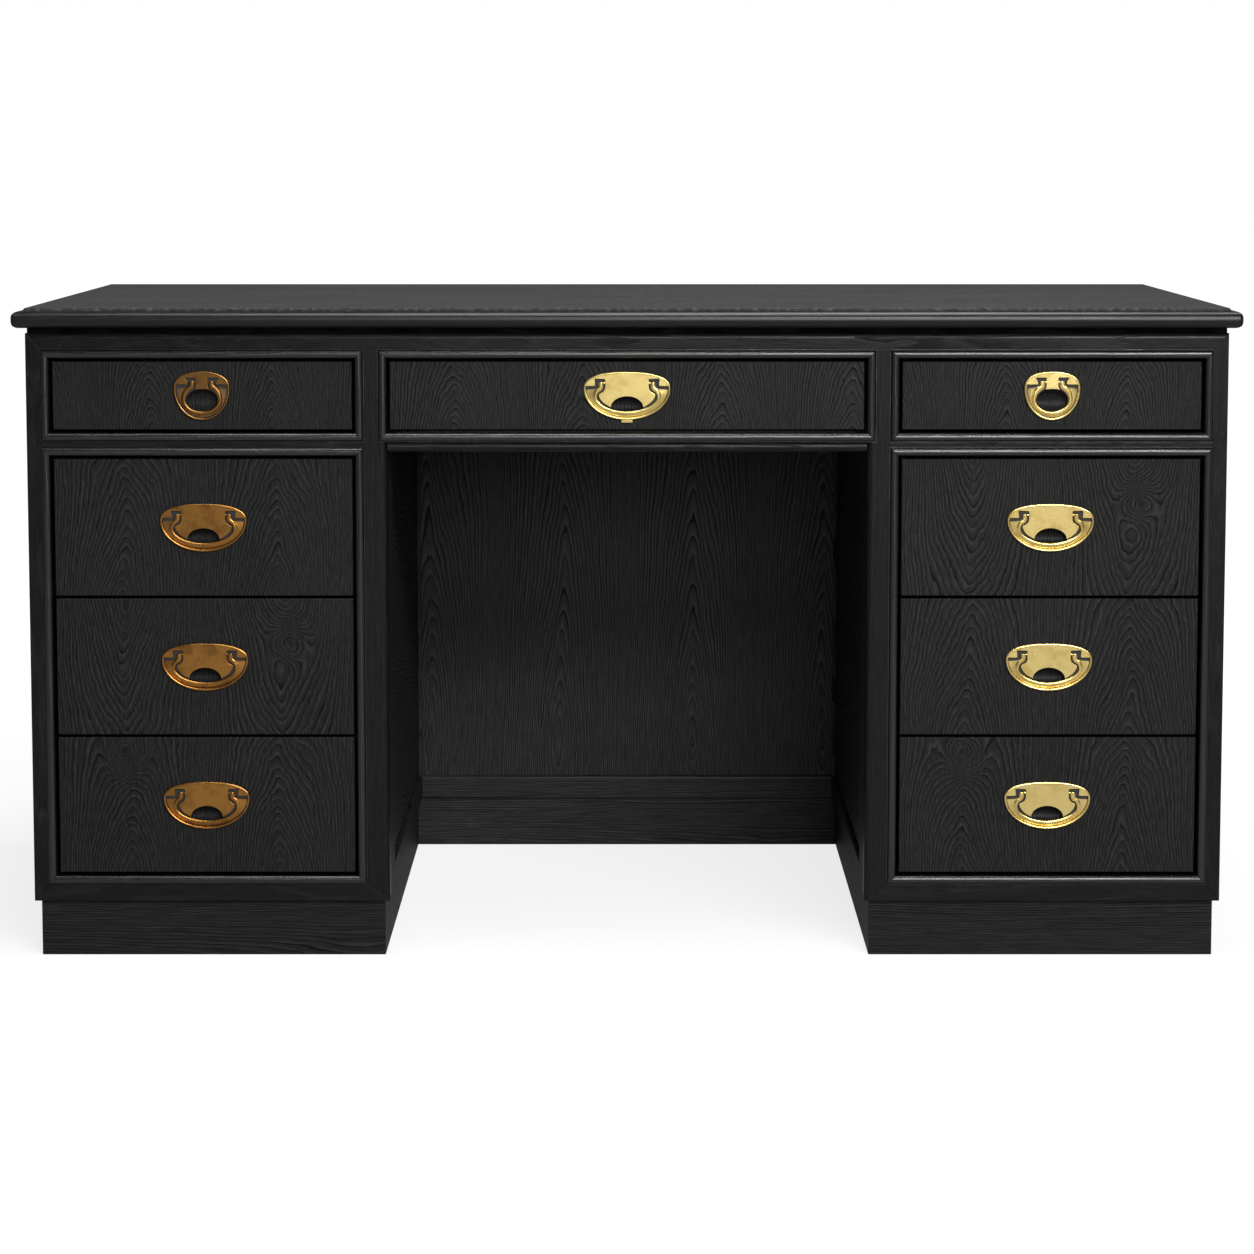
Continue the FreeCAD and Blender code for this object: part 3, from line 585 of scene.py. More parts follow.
def roundFrame(part):
    # the top arris of the case is well rounded, and the apron rail is a half-round strip
    front = caseLow.y
    low, high = spanOf(part, 2)
    if abs(high - caseHigh.z) < 1e-5 and low > apronTop:
        for end in (caseLow.x, caseHigh.x):
            squareCorner(part, 0.0035, x=end, z=high)
        squareCorner(part, 0.0035, y=front, z=high)
        bevelEdges(part, runsAt(y=front, z=high), arris["frieze"], 6)
    if abs(low - apronBottom) < 1e-5:
        squareCorner(part, 0.003, y=front, z=low)
        bevelEdges(part, runsAt(y=front, z=low), arris["apron"], 6)
        bevelEdges(part, runsAt(y=front, z=high), arris["apron"], 6)


def roundRail(part):
    # the front top arris of a rail at the back of the kneehole
    low, high = spanOf(part, 2)
    bevelEdges(part, runsAt(y=spanOf(part, 1)[0], z=high), arris["rail"], 4)


shapes = {"face_rails": roundFrame, "modesty_rails": roundRail}
# the frame, the shadow gap and the kneehole's rear take finishes whose tones paint shade or light
rubs = {
    "face_stiles": framePaintedShadeOak,
    "face_rails": framePaintedShadeOak,
    "top_spacer_frame": unlitOak,
    "rear_plinth": rearPaintedLightOak,
    "modesty_rails": rearPaintedLightOak,
}
for node in (
    "face_stiles",
    "face_rails",
    "left_outer_side",
    "left_kneehole_side",
    "right_kneehole_side",
    "right_outer_side",
    "left_plinth",
    "right_plinth",
    "rear_plinth",
    "modesty_rails",
    "top_spacer_frame",
):
    easedBoards(node, "carcass", arris["ease"], shape=shapes.get(node), finish=rubs.get(node))
easedBoards(
    "modesty_panel", "carcass", arris["ease"], upright=True, figures=(0, 0.9), alongScale=0.42, finish=rearPaintedLightOak
)
easedBoards("pedestal_back_panels", "carcass", arris["ease"], upright=True, figures=(0, 2.5), alongScale=0.42)
print("carcass boards made")

# Where each drawer front lies in the log: across it, and along it.
# Its arches point up about 0.1, 0.5, 0.9 and so on, and down about 0.3, 0.7, 1.1 and so on.
frontFigures = {
    "left_top": (0.17, 11.7, 1.3),
    "left_upper": (0.004, 0.9),
    "left_middle": (0, 1.9),
    "left_lower": (0, 3.3),
    "center": (0.33, 12.5, 1.15),
    "right_top": (0.16, 13.7, 1.3),
    "right_upper": (0, 4.3),
    "right_middle": (0, 5.3),
    "right_lower": (0, 6.1),
}
frontArris = 1.1 * mm


def roundFront(part):
    # the four front edges of a drawer front
    spots = [corner.co for corner in part.data.vertices]
    low = Vector([min(spot[axis] for spot in spots) for axis in range(3)])
    high = Vector([max(spot[axis] for spot in spots) for axis in range(3)])
    sides = [runsAt(y=low.y, x=low.x), runsAt(y=low.y, x=high.x), runsAt(y=low.y, z=low.z)]
    sides.append(runsAt(y=low.y, z=high.z))
    bevelEdges(part, lambda edge: any(side(edge) for side in sides), frontArris, 3)


for name, place in frontFigures.items():
    easedBoards(
        name + "_drawer_front", name + "_drawer", 0.25 * mm, upright=True, figures=place, shape=roundFront
    )
    easedBoards(
        name + "_drawer_box", name + "_drawer", 0.4 * mm, finish=liningDeep
    )
print("drawers made")

# The top: a raised field in mitred bullnose lippings

top = {"fieldArris": 1.6 * mm, "arrisSegments": 4, "noseSegments": 10, "mitreLine": 0.12 * mm}


def nosedStrip(name, low, high, along, outward, cuts, noseSegments):
    # a square strip whose two outer long edges are rounded into one nose, then cut to its mitres
    strip = startBlock(name, low, high)
    low, high = Vector(low), Vector(high)
    way = max(range(3), key=lambda axis: abs(outward[axis]))
    face = high[way] if outward[way] > 0 else low[way]
    thick = ({0, 1, 2} - {along, way}).pop()

    def onNose(edge):
        start, end = edge.verts[0].co, edge.verts[1].co
        runs = abs(start[along] - end[along]) > 0.5 * (high[along] - low[along])
        return runs and abs(start[way] - face) < 1e-6 and abs(end[way] - face) < 1e-6

    if noseSegments:
        bevelEdges(strip, onNose, 0.4985 * (high[thick] - low[thick]), noseSegments)
    for place, normal in cuts:
        cutAt(strip, place, normal)
    boardGrain(strip, along)
    return strip


def makeTop():
    panelLow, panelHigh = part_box("top_panel")
    nosesLow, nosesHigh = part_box("top_edge_lippings")
    field = startBlock("topField", panelLow, panelHigh)
    bevelEdges(
        field,
        lambda edge: all(corner.co.z > panelHigh.z - 1e-6 for corner in edge.verts),
        top["fieldArris"],
        top["arrisSegments"],
    )
    boardGrain(field, 0, (0.05, 30.1))
    smoothShade(field)
    fitTo(field, "carcass", ["top_panel"], [dullPaintedSheenOak])

    strips = []
    half = top["mitreLine"] / 2
    for side in range(4):
        turn = math.radians(90 * side)
        outward = Vector((round(math.sin(turn)), -round(math.cos(turn)), 0))
        along = 0 if side % 2 == 0 else 1
        way = 1 - along
        low, high = nosesLow.copy(), nosesHigh.copy()
        if outward[way] < 0:
            high[way] = panelLow[way]
        else:
            low[way] = panelHigh[way]
        cuts = []
        for end in (-1, 1):
            corner = Vector((0, 0, 0))
            corner[way] = panelLow[way] if outward[way] < 0 else panelHigh[way]
            corner[along] = panelHigh[along] if end > 0 else panelLow[along]
            normal = -outward.copy()
            normal[along] = end
            normal.normalize()
            cuts.append((corner - normal * half, normal))
        strips.append(nosedStrip("lipping", low, high, along, outward, cuts, top["noseSegments"]))
    lippings = joinPieces("topLippings", strips)
    smoothShade(lippings)
    fitTo(lippings, "carcass", ["top_edge_lippings"], [nosingPaintedShadeOak])


makeTop()
print("top made")

# Bead mouldings round the drawers

bead = {
    "width": 11 * mm,
    "quirk": 1.1 * mm,
    "quirkDepth": 6.3 * mm,
    "noseSegments": 9,
    "mitreLine": 0.22 * mm,
}


def beadFrame(low, high):
    # four half-round strips with mitred corners, and a narrow quirk outside them; the box is the frame's own
    strips = []
    width = bead["width"]
    outward = Vector((0, -1, 0))
    for side in range(4):
        along = 0 if side % 2 == 0 else 2
        across = 2 - along
        inward = 1 if side in (0, 3) else -1
        stripLow, stripHigh = Vector(low), Vector(high)
        if inward > 0:
            stripHigh[across] = stripLow[across] + width
        else:
            stripLow[across] = stripHigh[across] - width
        inner = stripHigh[across] if inward > 0 else stripLow[across]
        cuts = []
        for end in (-1, 1):
            corner = Vector((0, low[1], 0))
            corner[across] = inner
            corner[along] = high[along] - width if end > 0 else low[along] + width
            normal = Vector((0, 0, 0))
            normal[along] = end
            normal[across] = inward
            normal.normalize()
            cuts.append((corner - normal * bead["mitreLine"] / 2, normal))
        baseLow, baseHigh = stripLow.copy(), stripHigh.copy()
        baseLow.y += bead["quirkDepth"]
        stripHigh.y = baseLow.y + 1 * mm
        if inward > 0:
            stripLow[across] += bead["quirk"]
        else:
            stripHigh[across] -= bead["quirk"]
        strips.append(nosedStrip("bead", stripLow, stripHigh, along, outward, cuts, bead["noseSegments"]))
        strips.append(nosedStrip("beadBase", baseLow, baseHigh, along, outward, cuts, 0))
    return strips


def makeBeads():
    centreLow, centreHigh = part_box("center_bead_mouldings")
    for side in ("left", "right"):
        node = side + "_bead_mouldings"
        low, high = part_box(node)
        # the lower bay ends under the divider rail, and the upper one stands on it, level with the centre's
        lowerHigh = high.copy()
        lowerHigh.z = centreLow.z - 5 * mm
        upperLow = low.copy()
        upperLow.z = centreLow.z
        strips = beadFrame(low, lowerHigh) + beadFrame(upperLow, high)
        whole = joinPieces(side + "Beads", strips)
        smoothShade(whole)
        fitTo(whole, "carcass", [node], [waxedPaintedShadeOak])
    whole = joinPieces("centreBeads", beadFrame(centreLow, centreHigh))
    smoothShade(whole)
    fitTo(whole, "carcass", ["center_bead_mouldings"], [waxedPaintedShadeOak])


makeBeads()
print("beads made")

# Pulls: a cast plate with a raised rim, and a bail with a round grip and a flat skirt

drawerFace = -0.314
pullKinds = {
    # millimetres, across from the middle and down from the plate's top
    "wide": {
        "halfWidth": 50.3,
        "height": 55.8,
        "waist": 18.8,
        "shoulder": 16.5,
        "pocket": [
            (37.0, 16.5), (36.9, 13.7), (37.6, 8.0), (25.2, 8.4), (25.2, 19.2), (26.8, 22.5), (29.9, 24.6),
            (32.9, 26.0),
        ],
        "landArc": {"middle": 24.0, "halfWidth": 33.2, "drop": 20.6, "span": (13, 52.6)},
        "opening": {"level": 41.8, "halfWidth": 18.8, "rise": 13.4, "foot": (16.6, 49.4)},
        "pin": {"from": 25.3, "to": 29.5, "down": 13.0},
        # the bail from a knuckle to the foot: inner edge, crest and outer edge
        "bail": [
            ((28.6, 11.95), (29.9, 11.95), (31.2, 11.95)),
            ((27.2, 12.35), (29.9, 12.35), (32.6, 12.35)),
            ((26.9, 13.6), (29.9, 13.6), (32.9, 13.6)),
            ((26.9, 16.2), (30.0, 16.2), (33.1, 16.0)),
            ((27.3, 18.8), (30.5, 18.3), (33.7, 17.9)),
            ((28.7, 21.3), (32.0, 20.0), (35.2, 19.2)),
            ((30.7, 22.9), (33.6, 21.3), (36.6, 19.9)),
            ((32.4, 24.0), (34.6, 22.2), 3.2),
            ((33.8, 25.7), (35.8, 24.6), 9),
            ((34.5, 28.2), (36.4, 27.8), 14),
            ((34.2, 31.2), (36.1, 31.6), 21.5),
            ((32.5, 34.2), (34.2, 35.1), 29.5),
            ((29.6, 37.0), (31.0, 38.3), 38),
            ((25.5, 39.6), (26.6, 41.2), 47.5),
            ((20.3, 42.0), (21.1, 43.8), 57.5),
            ((14.0, 44.0), (14.5, 45.9), 68.5),
            ((7.2, 45.3), (7.4, 47.2), 79),
            ((0, 45.8), (0, 47.7), 90),
        ],
        "skirtFrom": 7,
        # its section outside the crest: share of the way out to the rim, and height off the drawer
        "skirt": [(0.26, 3.95), (0.50, 3.25), (0.72, 2.6), (0.95, 1.9), (1, 1.5), (1, None)],
    },
    "small": {
        "halfWidth": 32.4,
        "height": 56.7,
        "waist": 19.5,
        "shoulder": 15.2,
        "pocket": [
            (16.6, 15.2), (16.5, 12.6), (19.7, 7.2), (6.9, 7.2), (6.9, 18.4), (8.8, 21.2), (5.0, 20.6)
        ],
        "landArc": None,
        "opening": {"level": 34.0, "halfWidth": 18.2, "rise": 13.7, "foot": None},
        "pin": {"from": 6.2, "to": 10.5, "down": 12.2},
        "bail": [
            ((9.4, 11.15), (10.9, 11.15), (12.4, 11.15)),
            ((8.3, 11.55), (11.2, 11.55), (14.2, 11.55)),
            ((8.0, 12.8), (11.3, 12.8), (14.7, 12.8)),
            ((8.0, 15.2), (11.4, 15.0), (14.8, 14.8)),
            ((8.4, 17.6), (12.0, 16.9), (15.4, 16.5)),
            ((9.6, 19.9), (13.5, 18.4), (17.2, 17.6)),
            ((11.6, 21.7), (15.4, 19.7), (19.0, 18.4)),
            ((13.6, 23.3), (17.0, 20.9), 1.0),
            ((15.9, 25.6), (19.2, 23.4), 7),
            ((17.6, 28.6), (20.6, 27.2), 15),
            ((18.3, 32.2), (21.2, 31.8), 24),
            ((17.6, 36.2), (20.2, 36.8), 34),
            ((15.6, 39.8), (17.7, 41.0), 45),
            ((12.2, 42.8), (13.6, 44.4), 57),
            ((8.2, 44.9), (9.1, 46.7), 68.5),
            ((4.2, 46.0), (4.6, 47.9), 79),
            ((0, 46.3), (0, 48.3), 90),
        ],
        "skirtFrom": 7,
        "skirt": [(0.28, 3.95), (0.46, 3.2), (0.62, 1.9), (0.95, 1.6), (1, 1.4), (1, None)],
    },
}
pull = {
    "rimWidth": 2.7,
    "rimHeight": 4.0,
    "rimRound": 1.25,
    "landHeight": 3.5,
    "landRound": 0.35,
    "shoulderPower": 2.36,
    "floorHeight": 0.8,
    "skirtGap": 3.0,
    "back": 1.18,
    "crest": 4.22,
    "cornerReach": 1.3,
}
tab = {"halfWidth": 6.8, "drop": 3.5, "height": 2.4}


def ovalRun(middle, halfWidth, halfHeight, start, end, steps):
    # angles in degrees, from the right hand side and down
    run = []
    for step in range(steps + 1):
        turn = math.radians(start + (end - start) * step / steps)
        run.append((halfWidth * math.cos(turn), middle + halfHeight * math.sin(turn)))
    return run


def bothHalves(rightHalf):
    return rightHalf + [(-across, down) for across, down in reversed(rightHalf) if abs(across) > 0.01]


def shoulderRun(kind, inset, end, steps):
    # the upper right of the plate's outline, squarer than an ellipse, from its top to an angle
    power = 2 / pull["shoulderPower"]
    run = []
    for step in range(steps + 1):
        turn = math.radians(-90 + (end + 90) * step / steps)
        across = (kind["halfWidth"] - inset) * math.cos(turn) ** power
        run.append((across, kind["waist"] - (kind["waist"] - inset) * abs(math.sin(turn)) ** power))
    return run


def plateOval(kind, inset):
    # the right half of the plate's outline, drawn in from its edge
    reach = kind["height"] - kind["waist"] - inset
    lower = ovalRun(kind["waist"], kind["halfWidth"] - inset, reach, 0, 90, 24)
    return shoulderRun(kind, inset, 0, 26) + lower[1:]


def softened(outline, reach):
    # rounds the sharp corners of an outline
    soft = []
    for index, spot in enumerate(outline):
        here = Vector(spot)
        before = Vector(outline[index - 1]) - here
        after = Vector(outline[(index + 1) % len(outline)]) - here
        if before.length < 1e-6 or after.length < 1e-6:
            continue
        if abs(math.pi - before.angle(after)) < math.radians(24):
            soft.append(tuple(here))
            continue
        start = here + before * min(reach / before.length, 0.45)
        end = here + after * min(reach / after.length, 0.45)
        for step in range(6):
            share = step / 5
            soft.append(tuple(start.lerp(here, share).lerp(here.lerp(end, share), share)))
    return soft


def finishCurve(piece):
    # makes a drawn curve a mesh that stands upright against the drawer's face
    takeUp(piece)
    bpy.ops.object.convert(target="MESH")
    bpy.ops.object.transform_apply(location=True, rotation=True, scale=True)
    bpy.ops.object.mode_set(mode="EDIT")
    bpy.ops.mesh.select_all(action="SELECT")
    bpy.ops.mesh.remove_doubles(threshold=0.00001)
    bpy.ops.mesh.normals_make_consistent(inside=False)
    bpy.ops.object.mode_set(mode="OBJECT")
    return piece


def cutSheet(name, outlines, back, front, rounding):
    # a flat piece with rounded edges, cut to its outlines; heights are off the drawer's face
    drawn = bpy.data.curves.new(name, "CURVE")
    drawn.dimensions = "2D"
    drawn.fill_mode = "BOTH"
    drawn.extrude = (front - back) / 2 - rounding
    drawn.bevel_depth = rounding
    drawn.bevel_resolution = 2
    drawn.offset = -rounding
    for outline in outlines:
        line = drawn.splines.new("POLY")
        line.points.add(len(outline) - 1)
        for spot, (across, down) in zip(line.points, outline):
            spot.co = (across, -down, 0, 1)
        line.use_cyclic_u = True
    piece = bpy.data.objects.new(name, drawn)
    bpy.context.scene.collection.objects.link(piece)
    piece.rotation_euler = (math.pi / 2, 0, 0)
    piece.scale = (mm, mm, mm)
    piece.location = (0, drawerFace - (front + back) / 2 * mm, 0)
    return finishCurve(piece)


def landSheet(name, outline, back, front, rounding, cuts):
    # a flat piece of any outline: drawn, filled, thickened and rounded at its front edge
    drawn = bpy.data.curves.new(name, "CURVE")
    drawn.dimensions = "2D"
    drawn.fill_mode = "NONE"
    line = drawn.splines.new("POLY")
    line.points.add(len(outline) - 1)
    for spot, (across, down) in zip(line.points, outline):
        spot.co = (across, -down, 0, 1)
    line.use_cyclic_u = True
    piece = bpy.data.objects.new(name, drawn)
    bpy.context.scene.collection.objects.link(piece)
    takeUp(piece)
    bpy.ops.object.convert(target="MESH")
    bpy.ops.object.mode_set(mode="EDIT")
    bpy.ops.mesh.select_all(action="SELECT")
    bpy.ops.mesh.remove_doubles(threshold=0.01)
    bpy.ops.mesh.edge_face_add()
    # the sheet is cut into simple pieces, so that each of them fills well
    for across, down in cuts:
        bpy.ops.mesh.select_all(action="SELECT")
        normal = (0, 1, 0) if down else (1, 0, 0)
        bpy.ops.mesh.bisect(plane_co=(across, -down, 0), plane_no=normal)
    bpy.ops.mesh.select_all(action="SELECT")
    bpy.ops.mesh.extrude_region_move(TRANSFORM_OT_translate={"value": (0, 0, front - back)})
    bpy.ops.mesh.select_all(action="SELECT")
    bpy.ops.mesh.normals_make_consistent(inside=False)
    bpy.ops.object.mode_set(mode="OBJECT")
    top = front - back

    def frontEdge(edge):
        high = all(abs(corner.co.z - top) < 1e-4 for corner in edge.verts)
        return high and any(abs(face.normal.z) < 0.5 for face in edge.link_faces)

    bevelEdges(piece, frontEdge, rounding, 2)
    piece.rotation_euler = (math.pi / 2, 0, 0)
    piece.scale = (mm, mm, mm)
    piece.location = (0, drawerFace - back * mm, 0)
    bpy.ops.object.transform_apply(location=True, rotation=True, scale=True)
    return piece


def loftSkin(name, rings):
    # a grid whose rows become the given closed sections, one after another, with its ends closed
    deselectAll()
    columns = len(rings[0]) + 1
    bpy.ops.mesh.primitive_grid_add(x_subdivisions=columns - 1, y_subdivisions=len(rings) - 1)
    piece = bpy.context.object
    piece.name = name
    for index, corner in enumerate(piece.data.vertices):
        row, column = divmod(index, columns)
        across, down, height = rings[row][column % (columns - 1)]
        corner.co = (across * mm, drawerFace - height * mm, -down * mm)
    bpy.ops.object.mode_set(mode="EDIT")
    bpy.ops.mesh.select_all(action="SELECT")
    bpy.ops.mesh.remove_doubles(threshold=0.000002)
    bpy.ops.mesh.fill_holes(sides=0)
    bpy.ops.mesh.select_all(action="SELECT")
    bpy.ops.mesh.normals_make_consistent(inside=False)
    bpy.ops.object.mode_set(mode="OBJECT")
    return piece


def smoothRun(stations, steps):
    # a smooth line through all the stations, each a list of numbers
    run = []
    for index in range(len(stations) - 1):
        before = stations[max(index - 1, 0)]
        here, ahead = stations[index], stations[index + 1]
        after = stations[min(index + 2, len(stations) - 1)]
        for step in range(steps):
            t = step / steps
            run.append(
                [
                    0.5 * (
                        2 * b
                        + (c - a) * t
                        + (2 * a - 5 * b + 4 * c - d) * t**2
                        + (3 * b - a - 3 * c + d) * t**3
                    )
                    for a, b, c, d in zip(before, here, ahead, after)
                ]
            )
    run.append(list(stations[-1]))
    return run


def roundedBlock(name, acrossSpan, downSpan, heightSpan, rounding):
    low = (acrossSpan[0] * mm, drawerFace - heightSpan[1] * mm, -downSpan[1] * mm)
    high = (acrossSpan[1] * mm, drawerFace - heightSpan[0] * mm, -downSpan[0] * mm)
    block = startBlock(name, low, high)
    bevelEdges(block, lambda edge: True, rounding * mm, 3)
    return block


def openingOutline(kind):
    shape = kind["opening"]
    upper = ovalRun(shape["level"], shape["halfWidth"], shape["rise"], -90, 0, 16)
    if shape["foot"]:
        return bothHalves(upper + [shape["foot"]])
    return bothHalves(upper + ovalRun(shape["level"], shape["halfWidth"], shape["rise"] + 0.3, 0, 90, 16)[1:])


def makePlate(kindName):
    kind = pullKinds[kindName]
    floor = cutSheet(
        "plateFloor", [bothHalves(plateOval(kind, 0.4)), openingOutline(kind)], 0, pull["floorHeight"], 0.1
    )
    rim = cutSheet(
        "plateRim",
        [bothHalves(plateOval(kind, 0)), bothHalves(plateOval(kind, pull["rimWidth"]))],
        0,
        pull["rimHeight"],
        pull["rimRound"],
    )
    # the land lies a little lower than the rim, and runs under its edge
    inset = pull["rimWidth"] - 0.9
    share = (kind["waist"] - kind["shoulder"]) / (kind["waist"] - inset)
    turn = -math.degrees(math.asin(share ** (pull["shoulderPower"] / 2)))
    half = shoulderRun(kind, inset, turn, 22) + kind["pocket"]
    if kind["landArc"]:
        arc = kind["landArc"]
        half += ovalRun(arc["middle"], arc["halfWidth"], arc["drop"], *arc["span"], 10)
        crown = kind["opening"]
        half += ovalRun(crown["level"], crown["halfWidth"], crown["rise"], 0, -90, 16)
    else:
        half += [(0, 20.3)]
    outline = softened(bothHalves(half), pull["cornerReach"])
    near = min(across for across, down in kind["pocket"])
    cuts = [(-near / 2, 0), (near / 2, 0), (0, min(down for across, down in kind["pocket"]) - 0.6), (0, 17.6)]
    land = landSheet("plateLand", outline, 0.2, pull["landHeight"], pull["landRound"], cuts)
    parts = [floor, rim, land]
    if kindName == "centre":
        foot = kind["height"]
        span = (-tab["halfWidth"], tab["halfWidth"])
        parts.append(roundedBlock("plateTab", span, (foot - 2, foot + tab["drop"]), (0, tab["height"]), 0.9))
    plate = joinPieces(kindName + "Plate", parts)
    smoothShade(plate, 40)
    return plate


# The bail's section, as shares of the way and heights: inner edge to crest, and on to its outer edge.
bailInner = [(0, None), (0, 2.3), (0.06, 3.0), (0.32, 3.75), (0.68, 4.12), (1, 4.22)]
neckOuter = [(0.32, 4.12), (0.58, 3.9), (0.8, 3.5), (0.94, 2.9), (1, 2.2), (1, None)]
skirtReach = 4.6


def bailSection(inner, crest, outer, skirt, rise, back):
    inner, crest, outer = Vector(inner), Vector(crest), Vector(outer)
    points = []
    for share, height in bailInner:
        spot = inner.lerp(crest, share)
        points.append((spot.x, spot.y, height))
    length = (outer - crest).length
    for share, height in skirt or neckOuter:
        if skirt and length > skirtReach and share < 0.9:
            share *= skirtReach / length
        spot = crest.lerp(outer, share)
        points.append((spot.x, spot.y, height))
    return [
        (x, y, back if height is None else back + (height - pull["back"]) * rise) for x, y, height in points
    ]


def makeBail(kindName):
    kind = pullKinds[kindName]
    gap = pull["skirtGap"]
    reach = kind["height"] - kind["waist"] - gap
    stations = []
    for inner, crest, outer in kind["bail"]:
        if not isinstance(outer, tuple):
            turn = math.radians(outer)
            outer = ((kind["halfWidth"] - gap) * math.cos(turn), kind["waist"] + reach * math.sin(turn))
        stations.append([*inner, *crest, *outer])
    neck = smoothRun(stations[: kind["skirtFrom"]], 3)
    band = smoothRun(stations[kind["skirtFrom"] :], 4)
    # the knuckle's top is rounded, in front and behind, so that it turns freely in its pocket
    heads = {0: (0.35, 2.0), 1: (0.62, 1.7), 2: (0.80, 1.45), 3: (0.92, 1.3)}
    half = []
    for index, row in enumerate(neck):
        rise, back = heads.get(index, (1, pull["back"]))
        half.append(bailSection(row[0:2], row[2:4], row[4:6], None, rise, back))
    for row in band:
        half.append(bailSection(row[0:2], row[2:4], row[4:6], kind["skirt"], 1, pull["back"]))
    rings = half + [[(-x, y, height) for x, y, height in ring] for ring in reversed(half[:-1])]
    parts = [loftSkin("bailBody", rings)]
    pin = kind["pin"]
    for side in (-1, 1):
        deselectAll()
        bpy.ops.mesh.primitive_cylinder_add(
            vertices=20,
            radius=1.0 * mm,
            depth=(pin["to"] - pin["from"]) * mm,
            location=(side * (pin["from"] + pin["to"]) / 2 * mm, drawerFace - 2.25 * mm, -pin["down"] * mm),
            rotation=(0, math.pi / 2, 0),
        )
        bpy.ops.object.transform_apply(location=True, rotation=True, scale=True)
        parts.append(bpy.context.object)
    bail = joinPieces(kindName + "Bail", parts)
    smoothShade(bail, 48)
    return bail


def placeCopy(source, name, place):
    piece = source.copy()
    piece.data = source.data.copy()
    piece.name = name
    piece.data.name = name
    piece.data.transform(Matrix.Translation(place))
    bpy.context.scene.collection.objects.link(piece)
    return piece


pullKinds["centre"] = pullKinds["wide"]
pullTones = {
    "left_top": "darkBrass",
    "left_upper": "agedBrass",
    "left_middle": "agedBrass",
    "left_lower": "agedBrass",
    "center": "centreBrass",
}
sources = {kind: (makePlate(kind), makeBail(kind)) for kind in ("wide", "small", "centre")}
for name in frontFigures:
    kind = "small" if name.endswith("top") else "centre" if name == "center" else "wide"
    low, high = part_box(name + "_pull_plate")
    place = Vector(((low.x + high.x) / 2, 0, high.z))
    finish = brass[pullTones.get(name, "brightBrass")]
    plate, bail = sources[kind]
    newPlate = placeCopy(plate, name + "_pullPlate", place)
    fitTo(newPlate, name + "_drawer", [name + "_pull_plate"], [finish])
    newBail = placeCopy(bail, name + "_pullBail", place)
    fitTo(newBail, name + "_bail", [name + "_pull_bail"], [finish])
for plate, bail in sources.values():
    bpy.data.objects.remove(plate)
    bpy.data.objects.remove(bail)
print("pulls made")

# CAD nodes that stay get their finish

oakUpright = makeEbonisedOak("ebonisedOakUpright", "upright")
insideOak = makeEbonisedOak("insideOak", "deep", "unlit")
for name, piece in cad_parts.items():
    if piece.hide_render:
        continue
    # the runners and corner blocks take the unlit finish, darkened as painted shade
    if "runner" in name or "corner" in name:
        finish = insideOak
    else:
        finish = oakUpright
    for materialSlot in piece.material_slots:
        materialSlot.material = finish
print("other nodes finished")

# Stage, light and camera

studio = {
    "floorColour": (0.42, 0.42, 0.42, 1),
    "floorSeenNear": 0.80,
    "floorSeenFar": 1.0,
    "floorGlow": 0.18,
    "worldGlow": 0.15,
    "worldGrey": 0.10,
    "cameraPlace": (0, -4.029, 0.952),
    "cameraPitch": 5.5,
    "lens": 92.5,
    "shiftDown": 0.139,
}
# Each lamp: place, width and height, power in watts.
lamps = {
    "keyLamp": {"place": (1.7, -4.4, 3.1), "size": (3.4, 0.7), "power": 200},
    "fillLamp": {"place": (0.8, -4.5, 1.45), "size": (2.2, 1.0), "power": 50},
    "topLamp": {"place": (0.2, -0.3, 3.3), "size": (2.6, 1.2), "power": 85},
}


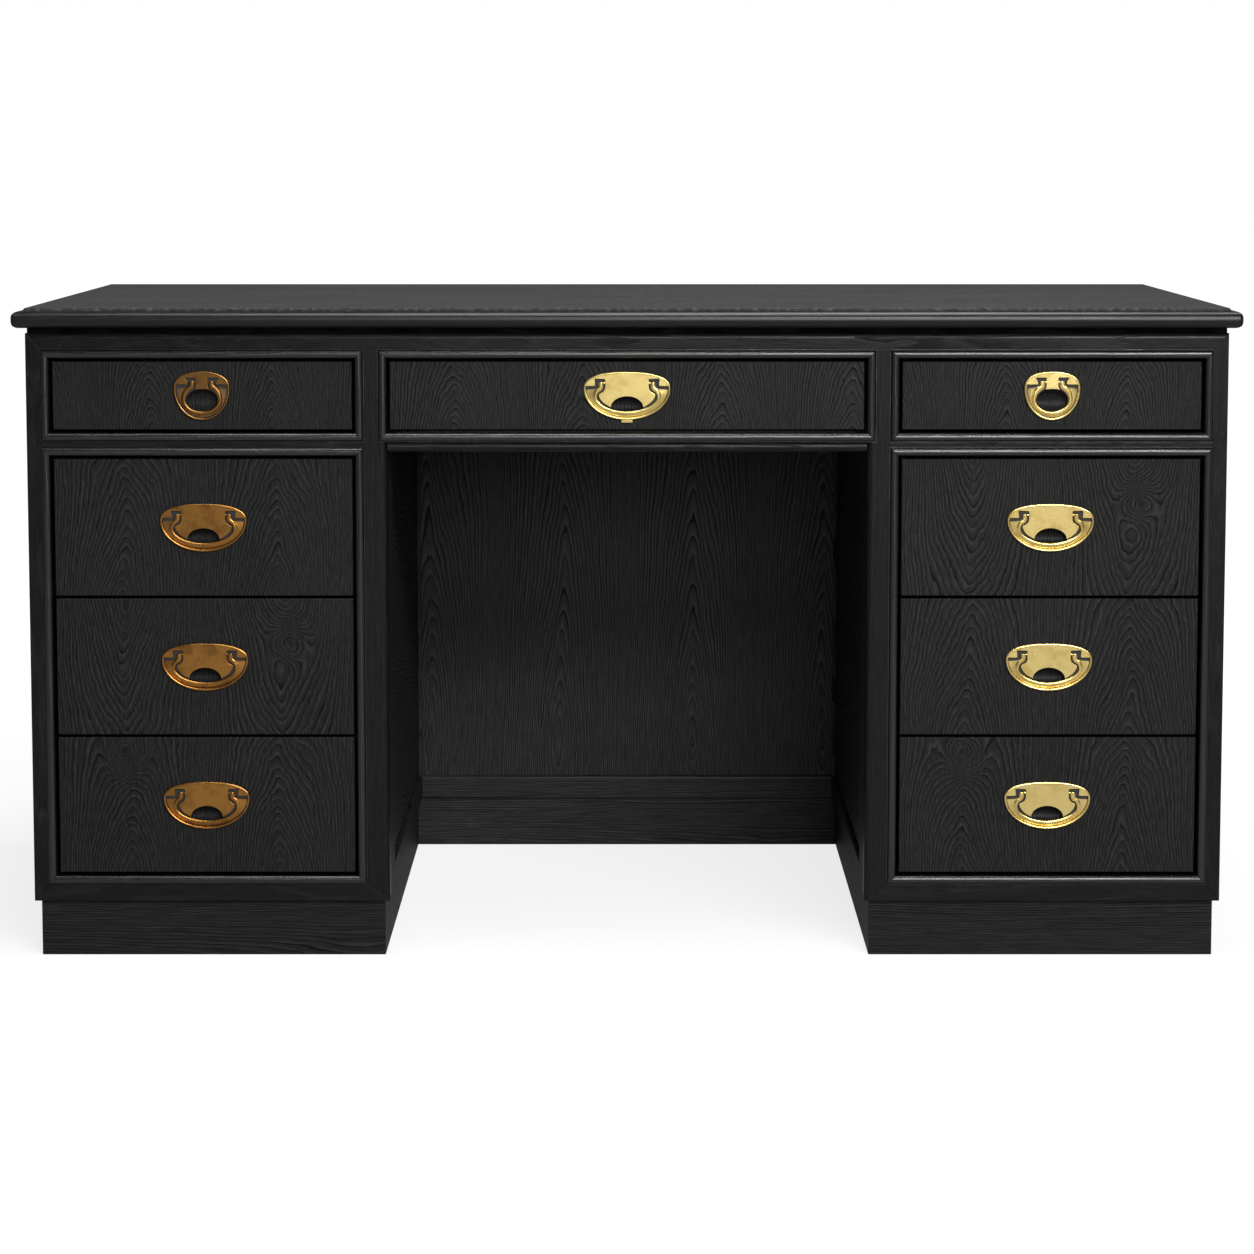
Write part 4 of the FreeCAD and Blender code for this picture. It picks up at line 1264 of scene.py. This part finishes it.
def makeStage():
    deselectAll()
    bpy.ops.mesh.primitive_plane_add(size=60)
    floor = bpy.context.object
    floor.name = "studioFloor"
    made, tree, shader = startMaterial("paleFloor")
    shader.inputs["Roughness"].default_value = 0.9
    shader.inputs["Specular IOR Level"].default_value = 0.1
    path = addNode(tree, "ShaderNodeLightPath")
    seen = sums(tree, "MAXIMUM", path.outputs["Is Camera Ray"], path.outputs["Is Transmission Ray"])
    seen = sums(tree, "MAXIMUM", seen, path.outputs["Is Glossy Ray"])
    shown = mixColour(tree, seen, studio["floorColour"], (0.25, 0.25, 0.25, 1))
    tree.links.new(shown, shader.inputs["Base Color"])
    # the floor is white to the eye, and keeps the desk's shadow; in a polished face it shows greyer
    place = addNode(tree, "ShaderNodeTexCoord").outputs["Object"]
    away = addNode(tree, "ShaderNodeVectorMath", {0: place}, operation="LENGTH").outputs["Value"]
    glow = ramp(tree, away, 0.9, 2.6, studio["floorSeenNear"], studio["floorSeenFar"])
    glow = sums(tree, "MULTIPLY", glow, sums(tree, "SUBTRACT", 1.0, path.outputs["Is Glossy Ray"]))
    glow = sums(tree, "MULTIPLY_ADD", path.outputs["Is Glossy Ray"], studio["floorGlow"], glow)
    lit = addNode(tree, "ShaderNodeEmission", {"Color": (1, 1, 1, 1), "Strength": glow})
    both = addNode(tree, "ShaderNodeAddShader", {0: shader.outputs[0], 1: lit.outputs[0]})
    mixed = addNode(tree, "ShaderNodeMixShader", {0: seen, 1: shader.outputs[0], 2: both.outputs[0]})
    tree.links.new(mixed.outputs[0], tree.nodes["Material Output"].inputs["Surface"])
    floor.data.materials.append(made)


def makeWorld():
    world = bpy.data.worlds.new("studioWorld")
    bpy.context.scene.world = world
    world.use_nodes = True
    tree = world.node_tree
    tree.nodes.clear()
    path = addNode(tree, "ShaderNodeLightPath")
    white = addNode(tree, "ShaderNodeBackground", {"Color": (1, 1, 1, 1), "Strength": 1.0})
    glow = sums(tree, "MULTIPLY", path.outputs["Is Glossy Ray"], studio["worldGlow"] - studio["worldGrey"])
    glow = sums(tree, "ADD", glow, studio["worldGrey"])
    light = addNode(tree, "ShaderNodeBackground", {"Color": (1, 1, 1, 1), "Strength": glow})
    seen = sums(tree, "MAXIMUM", path.outputs["Is Camera Ray"], path.outputs["Is Transmission Ray"])
    mixed = addNode(tree, "ShaderNodeMixShader", {0: seen, 1: light.outputs[0], 2: white.outputs[0]})
    addNode(tree, "ShaderNodeOutputWorld", {0: mixed.outputs[0]})


def addLamp(name, lamp):
    deselectAll()
    bpy.ops.object.light_add(type="AREA", location=lamp["place"])
    made = bpy.context.object
    made.name = name
    made.data.shape = "RECTANGLE"
    made.data.size, made.data.size_y = lamp["size"]
    made.data.energy = lamp["power"]
    aim = Vector((0, -0.1, 0.45)) - Vector(lamp["place"])
    made.rotation_euler = aim.to_track_quat("-Z", "Y").to_euler()
    made.visible_camera = False


def makeCamera():
    deselectAll()
    pitch = math.radians(90 - studio["cameraPitch"])
    bpy.ops.object.camera_add(location=studio["cameraPlace"], rotation=(pitch, 0, 0))
    camera = bpy.context.object
    camera.name = "studioCamera"
    camera.data.lens = studio["lens"]
    camera.data.sensor_width = 36
    camera.data.shift_y = -studio["shiftDown"]
    bpy.context.scene.camera = camera


makeStage()
makeWorld()
for name, lamp in lamps.items():
    addLamp(name, lamp)
makeCamera()
bpy.context.scene.view_settings.view_transform = "Standard"
print("stage, light and camera made")
